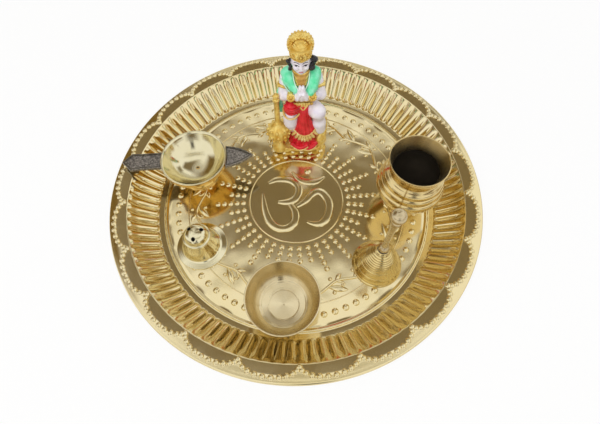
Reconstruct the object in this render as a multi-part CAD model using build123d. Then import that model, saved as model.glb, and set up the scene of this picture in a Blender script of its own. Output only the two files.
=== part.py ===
from build123d import *
import math
import os

# A brass worship plate that carries a lamp, an incense stand, a hand bell, a water pot,
# an offering bowl and a painted figure. Millimetres. +Z is up, +X is to the right and
# +Y points away from the person who uses it. The origin is the centre of the underside.

# Plate: pressed sheet with a flat floor, a fluted wall, a flat rim and a curled lip
plate_r = 150.0
plate_height = 25.2
sheet = 1.2
rim_width = 12.4
lip_r = 3.0
wall_run = 21.1
flute_count = 105
flute_depth = 1.0
trough_width = 3.5
bead_ring_width = 3.0
bead_ring_rise = 1.2
rim_dish = 1.3

# Raised dots of the floor, punched from below: rows that point at the centre, and one ring near the edge
dot_row_count = 40
dot_row_turn = 2.3
dot_row_first_r = 45.6
dot_row_step = 5.5
long_row_dots = 5
short_row_dots = 3
row_dot_r = 2.1
row_dot_rise = 1.4
edge_dot_count = 72
edge_dot_turn = 1.0
edge_dot_circle_r = 101.2
edge_dot_r = 2.5
edge_dot_rise = 1.3
dot_root = 0.4
dot_clearance = 3.0

# Fits shared by all items
seat_gap = 0.05
pivot_gap = 0.08

# Lamp: spun cup on a turned foot, with a cast handle under the mouth
lamp_bearing = 162.5
lamp_to_ring = 6.1
lamp_mouth_r = 26.1
lamp_depth = 16.3
lamp_wall = 1.2
lamp_foot_r = 15.5
lamp_foot_edge = 1.2
lamp_foot_step = 1.4
lamp_waist_r = 11.0
lamp_web = 3.0
lamp_recess_r = 8.0
rivet_r = 1.3
rivet_head_r = 2.4
rivet_head = 0.8

# Lamp handle: strip to the left, leaf to the right, lengths from the cup's axis
handle_turn = 2.65
handle_thick = 2.8
handle_over_rim = 2.0
mouth_over_handle = 1.2
strip_length = 59.3
strip_point = 7.5
strip_width = 14.8
strip_end_width = 18.0
leaf_length = 49.3
leaf_width = 20.5
leaf_mid_width = 14.6

# Incense stand: turned base with a wide brim, and a drilled head on a spigot
incense_bearing = 207.8
incense_to_ring = 1.65
brim_r = 20.5
brim_edge = 1.2
drum_foot_r = 13.6
drum_foot_z = 4.6
drum_top_r = 9.2
drum_height = 16.5
spigot_r = 3.5
spigot_length = 6.0
neck_r = 8.2
neck_height = 3.6
head_r = 10.9
head_side = 3.4
head_crown = 4.5
stick_bore_r = 1.4
stick_web = 0.6
stick_count = 3
stick_turn = 25.0

# Hand bell: turned bell, baluster handle, eye nut and clapper
bell_bearing = 316.4
bell_to_ring = 3.7
bell_mouth_r = 19.0
bell_height = 32.0
bell_wall = 1.6
bell_lip = 1.5
bell_flare_height = 7.0
bell_flare_width = 3.0
bell_waist_width = 3.2
bell_shoulder_z = 22.0
bell_crown_r = 6.5
bell_flare_hollow = 0.6
bell_shoulder_round = 1.5
collar_r = 4.1
collar_height = 2.4
stem_r = 2.0
stem_swell_r = 3.4
handle_ball_r = 5.3
handle_length = 61.5
thread_r = 1.6
nut_r = 4.0
nut_height = 4.2
lug_thick = 2.4
lug_r = 2.6
pin_r = 1.0
stirrup_half = 3.4
stirrup_drop = 6.5
clapper_ball_r = 4.4
clapper_lift = 2.6

# Water pot: ridged body with a flared neck brazed on it
lota_bearing = 357.75
lota_to_ring = 3.9
lota_foot_r = 14.5
lota_wall = 1.4
lota_foot_height = 1.6
lota_belly_r = 25.4
lota_belly_z = 28.0
lota_belly_round = 1.5
ridge_height = 6.0
ridge_bulge = 1.1
ridge_step = 1.3
ridge_count = 3
lota_joint_z = 49.0
lota_neck_r = 19.4
lota_rim_r = 22.2
lota_neck_hollow = 0.5
lota_height = 62.0

# Offering bowl: spun sheet
bowl_bearing = 263.1
bowl_to_ring = 2.1
bowl_foot_r = 16.0
bowl_rim_r = 27.3
bowl_height = 23.0
bowl_wall = 1.0
bowl_base = 2.0
bowl_bulge = 2.2

# Figure: one resin casting, half kneeling, with folded hands, crown and mace
idol_bearing = 85.0
idol_to_ring = 23.7
idol_base_width = 46.0
idol_base_depth = 36.0
idol_base_height = 5.0
idol_base_corner = 10.0
halo_r = 11.0
halo_thick = 4.5
crown_r = 8.8
crown_band = 7.0
crown_dome = 8.0
head_wide_r = 7.6
head_tall_r = 9.0
mace_head_r = 9.8
mace_shaft_r = 2.3
mace_knob_r = 3.6
mace_foot_r = 5.0
mace_length = 64.0
mace_head_up = 19.0

# Figure landmarks, from the middle of its base: right, away from the viewer, up
base_shift = (-2.0, 0.0)
body_axis = (1.0, 2.0)
hip_l = (-5.0, 3.0, 40.0)
knee_l = (-9.0, -9.5, 37.0)
ankle_l = (-8.0, -7.0, 17.0)
hip_r = (6.0, 3.0, 40.0)
knee_r = (14.2, -11.0, 46.5)
ankle_r = (17.0, -8.0, 18.0)
toe_r = (16.5, -14.0, 9.0)
shoulder_l = (-11.0, 3.0, 72.0)
elbow_l = (-14.0, -2.5, 57.5)
wrist_l = (-4.0, -10.0, 65.0)
shoulder_r = (13.0, 3.0, 72.0)
elbow_r = (17.0, -2.5, 57.5)
wrist_r = (6.0, -10.0, 65.0)
lapel_l = (-3.5, -7.0, 60.0)
lapel_r = (8.0, -7.0, 60.0)
nape = (1.0, 2.0, 76.0)
head_centre = (0.8, 0.5, 90.0)
curl_side = (9.8, 2.0, 89.0)
palms_foot = (1.0, -11.5, 62.0)
palms_tip = (1.0, -11.0, 77.0)
mace_foot = (-20.0, -15.0, 0.0)
mace_top = (-19.6, -5.0, 63.0)
tail_foot = (20.5, -8.0, 4.0)
tail_bend = (21.0, -3.0, 15.0)
tail_root = (10.0, 6.0, 26.0)
drape_top = (2.0, -5.5, 52.0)
drape_foot = (4.0, -12.0, 5.0)

# Figure cross-sections: half width, half depth, height
torso_sections = [(12.0, 9.5, 38.0), (9.5, 7.5, 51.0), (12.5, 8.5, 65.0), (11.5, 7.0, 73.0), (5.0, 5.0, 79.0)]
seat_sections = [(18.0, 14.0, 3.0), (15.0, 12.0, 20.0), (11.5, 9.5, 41.0)]
drape_half_widths = (4.5, 11.0)
drape_half_depths = (3.0, 4.0)
palm_half_widths = (5.2, 2.4)
palm_half_depths = (3.4, 1.8)
thigh_r = 7.6
knee_round_r = 7.0
calf_r = 6.3
ankle_round_r = 4.6
toe_round_r = 3.6
arm_r = 5.0
elbow_round_r = 4.2
wrist_round_r = 3.0
neck_round_r = 4.4
shawl_r = 6.2
shawl_edge_r = 5.4
lapel_round_r = 2.6
curl_r = 3.6
curl_top_r = 3.2
tail_round_r = 3.0
tail_thin_r = 2.5
limb_step = 0.2

# Levels and radii that follow from the plate
floor_z = sheet
wall_head_r = plate_r - rim_width
wall_foot_r = wall_head_r - wall_run
wall_rise = plate_height - sheet
bend_shift = sheet * math.tan(math.atan2(wall_rise, wall_run) / 2)
bead_outer_r = wall_foot_r - trough_width
floor_r = bead_outer_r - bead_ring_width

# Levels and radii of the lamp: its mouth stands high enough for the handle to clear the rim
handle_z = plate_height + handle_over_rim
lamp_mouth_z = handle_z + handle_thick + mouth_over_handle
cup_inner_r = (lamp_mouth_r ** 2 + lamp_depth ** 2) / (2 * lamp_depth)
cup_outer_r = cup_inner_r + lamp_wall
cup_centre_z = lamp_mouth_z - lamp_depth + cup_inner_r
cup_rim_r = math.sqrt(cup_outer_r ** 2 - (cup_centre_z - lamp_mouth_z) ** 2)
lamp_web_z = cup_centre_z - cup_outer_r - seat_gap - lamp_web

# Levels of the bell's inside
crown_under_z = floor_z + bell_height - bell_wall
pin_z = crown_under_z - nut_height - lug_r
clapper_ball_z = floor_z + clapper_lift + clapper_ball_r


def turned(start, *steps):
    # Solid of revolution: each step is a point to go straight to, or a pair of points for an arc
    edges = []
    here = start
    for step in steps:
        if isinstance(step[0], tuple):
            via, there = step
            edges.append(ThreePointArc(here, via, there))
        else:
            there = step
            edges.append(Line(here, there))
        here = there
    if here != start:
        edges.append(Line(here, start))
    return revolve(Plane.XZ * make_face(edges), Axis.Z)


def dome_via(radius, base_z, height):
    # Middle point of a round cap's outline, from its edge to its top on the axis
    ball_r = (radius ** 2 + height ** 2) / (2 * height)
    centre_z = base_z + height - ball_r
    half = math.atan2(radius, base_z - centre_z) / 2
    return (ball_r * math.sin(half), centre_z + ball_r * math.cos(half))


def limb(start, end, start_r, end_r):
    # Rounded limb: two balls and the cone that is tangent to both. A limb that starts in the
    # end of another is thinner there by limb_step, so that the two balls don't coincide
    axis = Vector(*end) - Vector(*start)
    length = axis.length
    lean = math.asin((start_r - end_r) / length)
    half = (lean - math.pi / 2) / 2
    low = (start_r * math.cos(lean), start_r * math.sin(lean))
    high = (end_r * math.cos(lean), length + end_r * math.sin(lean))
    low_via = (start_r * math.cos(half), start_r * math.sin(half))
    rest = (lean + math.pi / 2) / 2
    high_via = (end_r * math.cos(rest), length + end_r * math.sin(rest))
    body = turned((0, -start_r), (low_via, low), high, (high_via, (0, length + end_r)))
    return Plane(origin=start, z_dir=axis) * body


def blended(sections, centre):
    # Smooth body through level ellipses of half width, half depth and height
    faces = [Pos(*centre, z) * Ellipse(wide, deep) for wide, deep, z in sections]
    return loft(faces)


def tapered(foot, top, half_widths, half_depths):
    # Straight-sided body between two level ellipses
    low = Pos(*foot) * Ellipse(half_widths[0], half_depths[0])
    high = Pos(*top) * Ellipse(half_widths[1], half_depths[1])
    return loft([low, high], ruled=True)


def standing_place(bearing, item_r, ring_distance):
    # Where an item stands on the floor: its bearing, and its distance from the bead ring
    reach = floor_r - item_r - ring_distance
    angle = math.radians(bearing)
    return Pos(reach * math.cos(angle), reach * math.sin(angle))


def flute_outline(z):
    # Closed ring of arcs at one level: each arc is a rib that bulges towards the axis
    valley = wall_foot_r + (z - floor_z) * wall_run / wall_rise
    crest = valley - flute_depth
    step = 360 / flute_count
    ribs = []
    for index in range(flute_count):
        middle = index * step
        start = Vector(valley, 0).rotate(Axis.Z, middle - step / 2)
        via = Vector(crest, 0).rotate(Axis.Z, middle)
        end = Vector(valley, 0).rotate(Axis.Z, middle + step / 2)
        ribs.append(ThreePointArc(start, via, end))
    return Pos(0, 0, z) * make_face(ribs)


def thali_plate():
    lip_centre_r = plate_r - lip_r
    under_z = plate_height - sheet
    lip_z = plate_height - lip_r
    thin_r = lip_r - sheet
    slant = math.sqrt(0.5)
    stock = 2 * flute_depth
    dish_z = plate_height - rim_dish
    dish_run = rim_dish * wall_run / wall_rise
    bead_r = (bead_outer_r + floor_r) / 2
    blank = turned(
        (0, 0),
        (wall_foot_r + bend_shift, 0),
        (wall_head_r + bend_shift - dish_run, under_z - rim_dish),
        (lip_centre_r, under_z),
        ((lip_centre_r + thin_r * slant, lip_z + thin_r * slant), (plate_r - sheet, lip_z)),
        (plate_r, lip_z),
        ((lip_centre_r + lip_r * slant, lip_z + lip_r * slant), (lip_centre_r, plate_height)),
        (wall_head_r, dish_z),
        (wall_head_r - stock - dish_run, dish_z),
        (wall_foot_r - stock, floor_z),
        (bead_outer_r, floor_z),
        ((bead_r, floor_z + bead_ring_rise), (floor_r, floor_z)),
        (0, floor_z),
    )
    flutes = loft([flute_outline(floor_z), flute_outline(plate_height + sheet)], ruled=True)
    return (blank - flutes).fuse(*floor_dots())


def stands_free(x, y, dot_r):
    # Whether a dot stays clear of the items that stand on the floor
    margin = dot_r + dot_clearance
    round_feet = (
        (lamp_place(), lamp_foot_r),
        (incense_place(), brim_r),
        (bell_place(), bell_mouth_r),
        (lota_place(), lota_foot_r),
        (bowl_place(), bowl_foot_r),
    )
    for place, foot_r in round_feet:
        if math.hypot(x - place.position.X, y - place.position.Y) < foot_r + margin:
            return False
    base = (idol_place() * Pos(*base_shift)).position
    beside = abs(x - base.X) - idol_base_width / 2
    before = abs(y - base.Y) - idol_base_depth / 2
    return max(beside, before) > margin


def dot_ring(count, circle_r, turn, dot_r, rise):
    # Domes on one circle of the floor, left out where an item stands on them
    root_z = floor_z - dot_root
    dome = turned(
        (0, root_z),
        (dot_r, root_z),
        (dot_r, floor_z),
        (dome_via(dot_r, floor_z, rise), (0, floor_z + rise)),
    )
    dots = []
    for index in range(count):
        angle = math.radians(turn + 360 / count * index)
        x = circle_r * math.cos(angle)
        y = circle_r * math.sin(angle)
        if stands_free(x, y, dot_r):
            dots.append(Pos(x, y) * dome)
    return dots


def floor_dots():
    dots = dot_ring(edge_dot_count, edge_dot_circle_r, edge_dot_turn, edge_dot_r, edge_dot_rise)
    for index in range(long_row_dots):
        row_gap = 1 if index < short_row_dots else 2
        circle_r = dot_row_first_r + index * dot_row_step
        dots += dot_ring(dot_row_count // row_gap, circle_r, dot_row_turn, row_dot_r, row_dot_rise)
    return dots


def lamp_place():
    return standing_place(lamp_bearing, lamp_foot_r, lamp_to_ring)


def cup_low(radius):
    return (0, cup_centre_z - radius)


def cup_via(radius, mouth_r):
    # Middle point of a cup wall's outline, from its lowest point to the mouth
    angle = math.asin(mouth_r / radius) / 2
    return (radius * math.sin(angle), cup_centre_z - radius * math.cos(angle))


def cup_ball():
    return Pos(0, 0, cup_centre_z) * Sphere(cup_outer_r + seat_gap)


def rivet_hole():
    depth = lamp_mouth_z - floor_z
    return Pos(0, 0, floor_z + depth / 2) * Cylinder(rivet_r + seat_gap, depth)


def lamp_cup():
    cup = turned(
        cup_low(cup_outer_r),
        (cup_via(cup_outer_r, cup_rim_r), (cup_rim_r, lamp_mouth_z)),
        (lamp_mouth_r, lamp_mouth_z),
        (cup_via(cup_inner_r, lamp_mouth_r), cup_low(cup_inner_r)),
    )
    return lamp_place() * (cup - rivet_hole())


def lamp_foot():
    top_z = cup_centre_z - math.sqrt(cup_outer_r ** 2 - lamp_waist_r ** 2)
    edge_z = floor_z + lamp_foot_edge
    foot = turned(
        (lamp_recess_r, floor_z),
        (lamp_foot_r, floor_z),
        (lamp_foot_r, edge_z),
        (lamp_foot_r - lamp_foot_step, edge_z),
        (lamp_waist_r, top_z),
        (0, top_z),
        (0, lamp_web_z),
        (lamp_recess_r, lamp_web_z),
    )
    return lamp_place() * (foot - cup_ball() - rivet_hole())


def lamp_rivet():
    seat_z = cup_centre_z - math.sqrt(cup_inner_r ** 2 - rivet_head_r ** 2)
    tail_z = lamp_web_z - rivet_head
    rivet = turned(
        (0, tail_z),
        (rivet_head_r, tail_z),
        (rivet_head_r, lamp_web_z),
        (rivet_r, lamp_web_z),
        (rivet_r, seat_z),
        (rivet_head_r, seat_z),
        (dome_via(rivet_head_r, seat_z, rivet_head), (0, seat_z + rivet_head)),
    )
    return lamp_place() * rivet


def lamp_handle():
    shoulder = strip_point - strip_length
    strip = Polyline(
        (0, strip_width / 2),
        (-cup_rim_r, strip_width / 2),
        (shoulder, strip_end_width / 2),
        (-strip_length, 0),
        (shoulder, -strip_end_width / 2),
        (-cup_rim_r, -strip_width / 2),
        (0, -strip_width / 2),
        close=True,
    )
    leaf_middle = (cup_rim_r + leaf_length) / 2
    leaf = Polyline(
        (0, leaf_width / 2),
        (cup_rim_r, leaf_width / 2),
        (leaf_middle, leaf_mid_width / 2),
        (leaf_length, 0),
        (leaf_middle, -leaf_mid_width / 2),
        (cup_rim_r, -leaf_width / 2),
        (0, -leaf_width / 2),
        close=True,
    )
    flat = Circle(cup_rim_r) + make_face(strip) + make_face(leaf)
    handle = Pos(0, 0, handle_z) * extrude(flat, amount=handle_thick)
    return lamp_place() * Rot(0, 0, handle_turn) * (handle - cup_ball())


def incense_place():
    return standing_place(incense_bearing, brim_r, incense_to_ring) * Pos(0, 0, floor_z)


def incense_base():
    brim_via = (drum_foot_r + (brim_r - drum_foot_r) / 3, brim_edge + (drum_foot_z - brim_edge) / 4)
    socket_r = spigot_r + seat_gap
    socket_z = drum_height - spigot_length
    base = turned(
        (0, 0),
        (brim_r, 0),
        (brim_r, brim_edge),
        (brim_via, (drum_foot_r, drum_foot_z)),
        (drum_top_r, drum_height),
        (socket_r, drum_height),
        (socket_r, socket_z),
        (0, socket_z),
    )
    return incense_place() * base


def incense_head():
    lip_z = drum_height + neck_height
    side_z = lip_z + head_side
    top_z = side_z + head_crown
    head = turned(
        (0, drum_height - spigot_length),
        (spigot_r, drum_height - spigot_length),
        (spigot_r, drum_height),
        (neck_r, drum_height),
        (neck_r, lip_z),
        (head_r, lip_z),
        (head_r, side_z),
        (dome_via(head_r, side_z, head_crown), (0, top_z)),
    )
    bore_length = top_z - drum_height
    bore_mid_z = (top_z + drum_height) / 2
    circle_r = spigot_r + stick_web + stick_bore_r
    for index in range(stick_count):
        angle = stick_turn + index * 360 / stick_count
        bore = Cylinder(stick_bore_r, 2 * bore_length)
        head -= Rot(0, 0, angle) * Pos(circle_r, 0, bore_mid_z) * bore
    return incense_place() * head


def bell_place():
    return standing_place(bell_bearing, bell_mouth_r, bell_to_ring)


def bell_skin(inset):
    # Flare, waist and shoulder of the bell, drawn in by a wall thickness
    mouth = bell_mouth_r - inset
    flare_r = mouth - bell_flare_width
    flare_z = floor_z + bell_flare_height
    shoulder_r = flare_r - bell_waist_width
    shoulder_z = floor_z + bell_shoulder_z
    crown_z = floor_z + bell_height - inset
    crown = bell_crown_r - inset
    flare_via = ((mouth + flare_r) / 2 - bell_flare_hollow, floor_z + bell_flare_height / 2)
    shoulder_via = ((crown + shoulder_r) / 2 + bell_shoulder_round, (shoulder_z + crown_z) / 2 + bell_shoulder_round)
    return [
        (mouth, floor_z + bell_lip),
        (flare_via, (flare_r, flare_z)),
        (shoulder_r, shoulder_z),
        (shoulder_via, (crown, crown_z)),
    ]


def bell_body():
    top_z = floor_z + bell_height
    outer = turned((0, floor_z), (bell_mouth_r, floor_z), *bell_skin(0), (0, top_z))
    inner = turned((0, floor_z), (bell_mouth_r - bell_wall, floor_z), *bell_skin(bell_wall), (0, crown_under_z))
    hole = Pos(0, 0, top_z) * Cylinder(thread_r + seat_gap, 4 * bell_wall)
    return bell_place() * (outer - inner - hole)


def bell_handle():
    crown_z = floor_z + bell_height
    thread_z = crown_under_z - nut_height
    collar_z = crown_z + collar_height
    ball_z = crown_z + handle_length - handle_ball_r
    swell_z = ball_z - 2 * handle_ball_r
    meet_z = ball_z - math.sqrt(handle_ball_r ** 2 - stem_swell_r ** 2)
    handle = turned(
        (0, thread_z),
        (thread_r, thread_z),
        (thread_r, crown_z),
        (collar_r, crown_z),
        (collar_r, collar_z - collar_height / 2),
        (stem_r, collar_z),
        (stem_r, swell_z - 2 * handle_ball_r),
        (stem_swell_r, meet_z),
        ((handle_ball_r, ball_z), (0, ball_z + handle_ball_r)),
    )
    return bell_place() * handle


def bell_eye_nut():
    nut_z = crown_under_z - nut_height
    nut = Pos(0, 0, nut_z) * extrude(RegularPolygon(nut_r, 6), amount=nut_height)
    lug_height = nut_z - pin_z
    cheek = Pos(0, 0, nut_z - lug_height / 2) * Box(lug_thick, 2 * lug_r, lug_height)
    across = Pos(0, 0, pin_z) * Rot(0, 90, 0)
    lug = cheek + across * Cylinder(lug_r, lug_thick)
    thread = Pos(0, 0, nut_z + nut_height / 2) * Cylinder(thread_r + seat_gap, nut_height)
    eye = across * Cylinder(pin_r + pivot_gap, 2 * lug_thick)
    return bell_place() * (nut - thread + lug - eye)


def clapper_wire():
    bar_z = pin_z - stirrup_drop
    corners = [
        (-stirrup_half, 0, pin_z),
        (stirrup_half, 0, pin_z),
        (stirrup_half, 0, bar_z),
        (-stirrup_half, 0, bar_z),
    ]
    wire = limb((0, 0, bar_z), (0, 0, clapper_ball_z), pin_r, pin_r)
    for index, corner in enumerate(corners):
        wire += limb(corners[index - 1], corner, pin_r, pin_r)
    return bell_place() * wire


def clapper_ball():
    bore_top = clapper_ball_z + clapper_ball_r
    bore_low = clapper_ball_z - pin_r - seat_gap
    bore = limb((0, 0, bore_low + pin_r + seat_gap), (0, 0, bore_top), pin_r + seat_gap, pin_r + seat_gap)
    return bell_place() * (Pos(0, 0, clapper_ball_z) * Sphere(clapper_ball_r) - bore)


def lota_place():
    return standing_place(lota_bearing, lota_foot_r, lota_to_ring) * Pos(0, 0, floor_z)


def lota_skin(inset):
    # Belly, ridges and shoulder of the pot, drawn in by a wall thickness
    belly_r = lota_belly_r - inset
    foot_r = lota_foot_r - inset
    foot_z = lota_foot_height
    belly_via = ((foot_r + belly_r) / 2 + lota_belly_round, (foot_z + lota_belly_z) / 2 - lota_belly_round)
    steps = [(belly_via, (belly_r, lota_belly_z))]
    for index in range(ridge_count):
        low_r = belly_r - index * ridge_step
        low_z = lota_belly_z + index * ridge_height
        via = (low_r + ridge_bulge - ridge_step / 2, low_z + ridge_height / 2)
        steps.append((via, (low_r - ridge_step, low_z + ridge_height)))
    steps.append((lota_neck_r - inset, lota_joint_z))
    return steps


def lota_body():
    outer = turned(
        (0, 0),
        (lota_foot_r, 0),
        (lota_foot_r, lota_foot_height),
        *lota_skin(0),
        (0, lota_joint_z),
    )
    inner = turned(
        (0, lota_foot_height),
        (lota_foot_r - lota_wall, lota_foot_height),
        *lota_skin(lota_wall),
        (0, lota_joint_z),
    )
    return lota_place() * (outer - inner)


def lota_neck():
    neck_inner_r = lota_neck_r - lota_wall
    rim_inner_r = lota_rim_r - lota_wall
    mid_z = (lota_joint_z + lota_height) / 2
    mid_r = (lota_neck_r + lota_rim_r) / 2 - lota_neck_hollow
    neck = turned(
        (neck_inner_r, lota_joint_z),
        (lota_neck_r, lota_joint_z),
        ((mid_r, mid_z), (lota_rim_r, lota_height)),
        (rim_inner_r, lota_height),
        ((mid_r - lota_wall, mid_z), (neck_inner_r, lota_joint_z)),
    )
    return lota_place() * neck


def bowl_place():
    return standing_place(bowl_bearing, bowl_foot_r, bowl_to_ring) * Pos(0, 0, floor_z)


def offering_bowl():
    wall_via = ((bowl_foot_r + bowl_rim_r) / 2 + bowl_bulge, bowl_height / 2 - bowl_bulge)
    inner_via = (wall_via[0] - bowl_wall, wall_via[1] + bowl_wall)
    bowl = turned(
        (0, 0),
        (bowl_foot_r, 0),
        (wall_via, (bowl_rim_r, bowl_height)),
        (bowl_rim_r - bowl_wall, bowl_height),
        (inner_via, (bowl_foot_r - bowl_wall, bowl_base)),
        (0, bowl_base),
    )
    return bowl_place() * bowl


def idol_place():
    return standing_place(idol_bearing, idol_base_depth / 2, idol_to_ring) * Pos(0, 0, floor_z)


def idol_mace():
    head_z = mace_head_up
    round_r = mace_head_r * math.sqrt(0.5)
    neck_low = head_z - math.sqrt(mace_head_r ** 2 - mace_foot_r ** 2 / 4)
    neck_high = head_z + math.sqrt(mace_head_r ** 2 - mace_shaft_r ** 2)
    mace = turned(
        (0, 0),
        (mace_foot_r, 0),
        (mace_foot_r, mace_foot_r / 2),
        (mace_foot_r / 2, neck_low),
        ((round_r, head_z - round_r), (mace_head_r, head_z)),
        ((round_r, head_z + round_r), (mace_shaft_r, neck_high)),
        (mace_shaft_r, mace_length - math.sqrt(mace_knob_r ** 2 - mace_shaft_r ** 2)),
        ((mace_knob_r, mace_length), (0, mace_length + mace_knob_r)),
    )
    axis = Vector(*mace_top) - Vector(*mace_foot)
    upright = Plane(origin=mace_foot, z_dir=axis) * mace
    low = Pos(0, 0, -mace_length / 2) * Box(4 * mace_length, 4 * mace_length, mace_length)
    return upright - low


def idol_head():
    x, y, z = head_centre
    band_z = head_tall_r / 2
    face = turned((0, -head_tall_r), ((head_wide_r, 0), (0, head_tall_r)))
    dome_z = band_z + crown_band
    crown = turned(
        (0, band_z),
        (crown_r, band_z),
        (crown_r, dome_z),
        (dome_via(crown_r, dome_z, crown_dome), (0, dome_z + crown_dome)),
    )
    rim = halo_r - halo_thick / 2
    halo = turned(
        (0, -halo_thick / 2),
        (rim, -halo_thick / 2),
        ((halo_r, 0), (rim, halo_thick / 2)),
        (0, halo_thick / 2),
    )
    halo_z = dome_z + crown_dome - halo_r / 2
    pieces = [face, crown, Pos(0, halo_thick / 2, halo_z) * Rot(90, 0, 0) * halo]
    for side in (-1, 1):
        curl_top = (side * curl_side[0], curl_side[1], curl_side[2] + curl_r - z)
        curl_low = (side * curl_side[0], curl_side[1], curl_side[2] - curl_r - z)
        pieces.append(limb(curl_top, curl_low, curl_top_r, curl_r))
    pieces.append(limb((nape[0] - x, nape[1] - y, nape[2] - z), (0, 0, 0), neck_round_r, neck_round_r))
    return [Pos(x, y, z) * piece for piece in pieces]


def idol_figure():
    base_flat = RectangleRounded(idol_base_width, idol_base_depth, idol_base_corner)
    pieces = [Pos(*base_shift) * extrude(base_flat, amount=idol_base_height)]
    pieces.append(blended(seat_sections, body_axis))
    pieces.append(blended(torso_sections, body_axis))
    pieces.append(tapered(palms_foot, palms_tip, palm_half_widths, palm_half_depths))
    pieces.append(tapered(drape_top, drape_foot, drape_half_widths, drape_half_depths))
    pieces.append(limb(hip_l, knee_l, thigh_r, knee_round_r))
    pieces.append(limb(knee_l, ankle_l, calf_r, ankle_round_r))
    pieces.append(limb(hip_r, knee_r, thigh_r, knee_round_r))
    pieces.append(limb(knee_r, ankle_r, calf_r, ankle_round_r))
    pieces.append(limb(ankle_r, toe_r, ankle_round_r - limb_step, toe_round_r))
    for shoulder, elbow, wrist, lapel, nape_r in (
        (shoulder_l, elbow_l, wrist_l, lapel_l, shawl_r),
        (shoulder_r, elbow_r, wrist_r, lapel_r, shawl_r - limb_step),
    ):
        pieces.append(limb(shoulder, elbow, arm_r, elbow_round_r))
        pieces.append(limb(elbow, wrist, elbow_round_r - limb_step, wrist_round_r))
        pieces.append(limb(nape, shoulder, nape_r, shawl_edge_r))
        pieces.append(limb(shoulder, lapel, shawl_edge_r - limb_step, lapel_round_r))
    pieces.append(limb(tail_foot, tail_bend, tail_round_r, tail_thin_r))
    pieces.append(limb(tail_bend, tail_root, tail_thin_r - limb_step, tail_thin_r - limb_step))
    pieces.append(idol_mace())
    pieces += idol_head()
    figure = pieces[0].fuse(*pieces[1:])
    return idol_place() * figure


nodes = [
    thali_plate,
    lamp_cup,
    lamp_foot,
    lamp_rivet,
    lamp_handle,
    incense_base,
    incense_head,
    bell_body,
    bell_handle,
    bell_eye_nut,
    clapper_wire,
    clapper_ball,
    lota_body,
    lota_neck,
    offering_bowl,
    idol_figure,
]

os.makedirs("parts", exist_ok=True)
for node in nodes:
    export_step(node(), f"parts/{node.__name__}.step")
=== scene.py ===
import math

import bmesh
import bpy
from mathutils import Euler, Matrix, Vector, noise
from mathutils.bvhtree import BVHTree


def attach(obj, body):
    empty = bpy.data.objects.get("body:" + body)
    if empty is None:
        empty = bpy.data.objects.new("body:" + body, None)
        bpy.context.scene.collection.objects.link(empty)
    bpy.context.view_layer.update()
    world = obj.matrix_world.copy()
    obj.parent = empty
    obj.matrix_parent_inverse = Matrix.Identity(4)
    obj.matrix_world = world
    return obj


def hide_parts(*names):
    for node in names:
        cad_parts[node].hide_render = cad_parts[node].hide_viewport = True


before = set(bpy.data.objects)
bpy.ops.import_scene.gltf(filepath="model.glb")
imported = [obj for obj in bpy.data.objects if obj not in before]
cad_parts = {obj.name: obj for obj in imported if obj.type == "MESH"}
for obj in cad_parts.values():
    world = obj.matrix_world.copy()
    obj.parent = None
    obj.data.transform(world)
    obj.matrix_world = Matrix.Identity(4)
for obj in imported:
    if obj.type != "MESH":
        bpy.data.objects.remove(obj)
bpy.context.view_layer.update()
print("frame loaded")

mm = 0.001
floorTop = 1.2  # plate floor, mm above the table


# Colours, nodes and finished pieces

def hexColour(code):
    values = [int(code[i:i + 2], 16) / 255 for i in (1, 3, 5)]
    return [v / 12.92 if v <= 0.04045 else ((v + 0.055) / 1.055) ** 2.4 for v in values] + [1.0]


def setNode(tree, node, settings=None, links=None):
    for key, value in (settings or {}).items():
        if isinstance(key, int) or key in node.inputs:
            node.inputs[key].default_value = value
        else:
            setattr(node, key, value)
    for key, source in (links or {}).items():
        if not isinstance(source, bpy.types.NodeSocket):  # a node stands for its first live output
            source = next(socket for socket in source.outputs if socket.enabled)
        tree.links.new(source, node.inputs[key])


def addNode(tree, kind, settings=None, links=None):
    node = tree.nodes.new("ShaderNode" + kind)
    setNode(tree, node, settings, links)
    return node


def newMaterial(name):
    material = bpy.data.materials.new(name)
    material.use_nodes = True
    tree = material.node_tree
    return material, tree, tree.nodes["Principled BSDF"]


def meshOf(name, bm):
    mesh = bpy.data.meshes.new(name)
    bm.to_mesh(mesh)
    bm.free()
    return mesh


def addMesh(bm, other):
    mesh = meshOf("added", other)
    bm.from_mesh(mesh)
    bpy.data.meshes.remove(mesh)


def addObject(name, data):
    thing = bpy.data.objects.new(name, data)
    bpy.context.scene.collection.objects.link(thing)
    return thing


def finishPiece(name, bm, materials, body, replaced=(), sharp=40):
    bmesh.ops.scale(bm, vec=(mm, mm, mm), verts=bm.verts)
    mesh = meshOf(name, bm)
    for material in materials:
        mesh.materials.append(material)
    mesh.shade_smooth()
    mesh.set_sharp_from_angle(angle=math.radians(sharp))
    piece = addObject(name, mesh)
    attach(piece, body)
    if replaced:
        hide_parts(*replaced)
    return piece


# Lines, turned shapes and curves, all in mm

def rounded(profile, segments=5):
    # profile points are (radius, height) or (radius, height, rounding)
    points = [Vector(point[:2]) for point in profile]
    line = []
    for index, point in enumerate(points):
        trim = profile[index][2] if len(profile[index]) > 2 else 0
        if not trim or index in (0, len(points) - 1):
            line.append(point)
            continue
        before, after = points[index - 1] - point, points[index + 1] - point
        start = point + before.normalized() * min(trim, before.length / 2)
        end = point + after.normalized() * min(trim, after.length / 2)
        for k in range(segments + 1):
            t = k / segments
            line.append(start * (1 - t) ** 2 + point * 2 * t * (1 - t) + end * t ** 2)
    return line


def arcLine(centre, radius, startAngle, endAngle, steps):
    angles = [math.radians(startAngle + (endAngle - startAngle) * k / steps) for k in range(steps + 1)]
    return [(centre[0] + radius * math.cos(a), centre[1] + radius * math.sin(a)) for a in angles]


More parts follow.
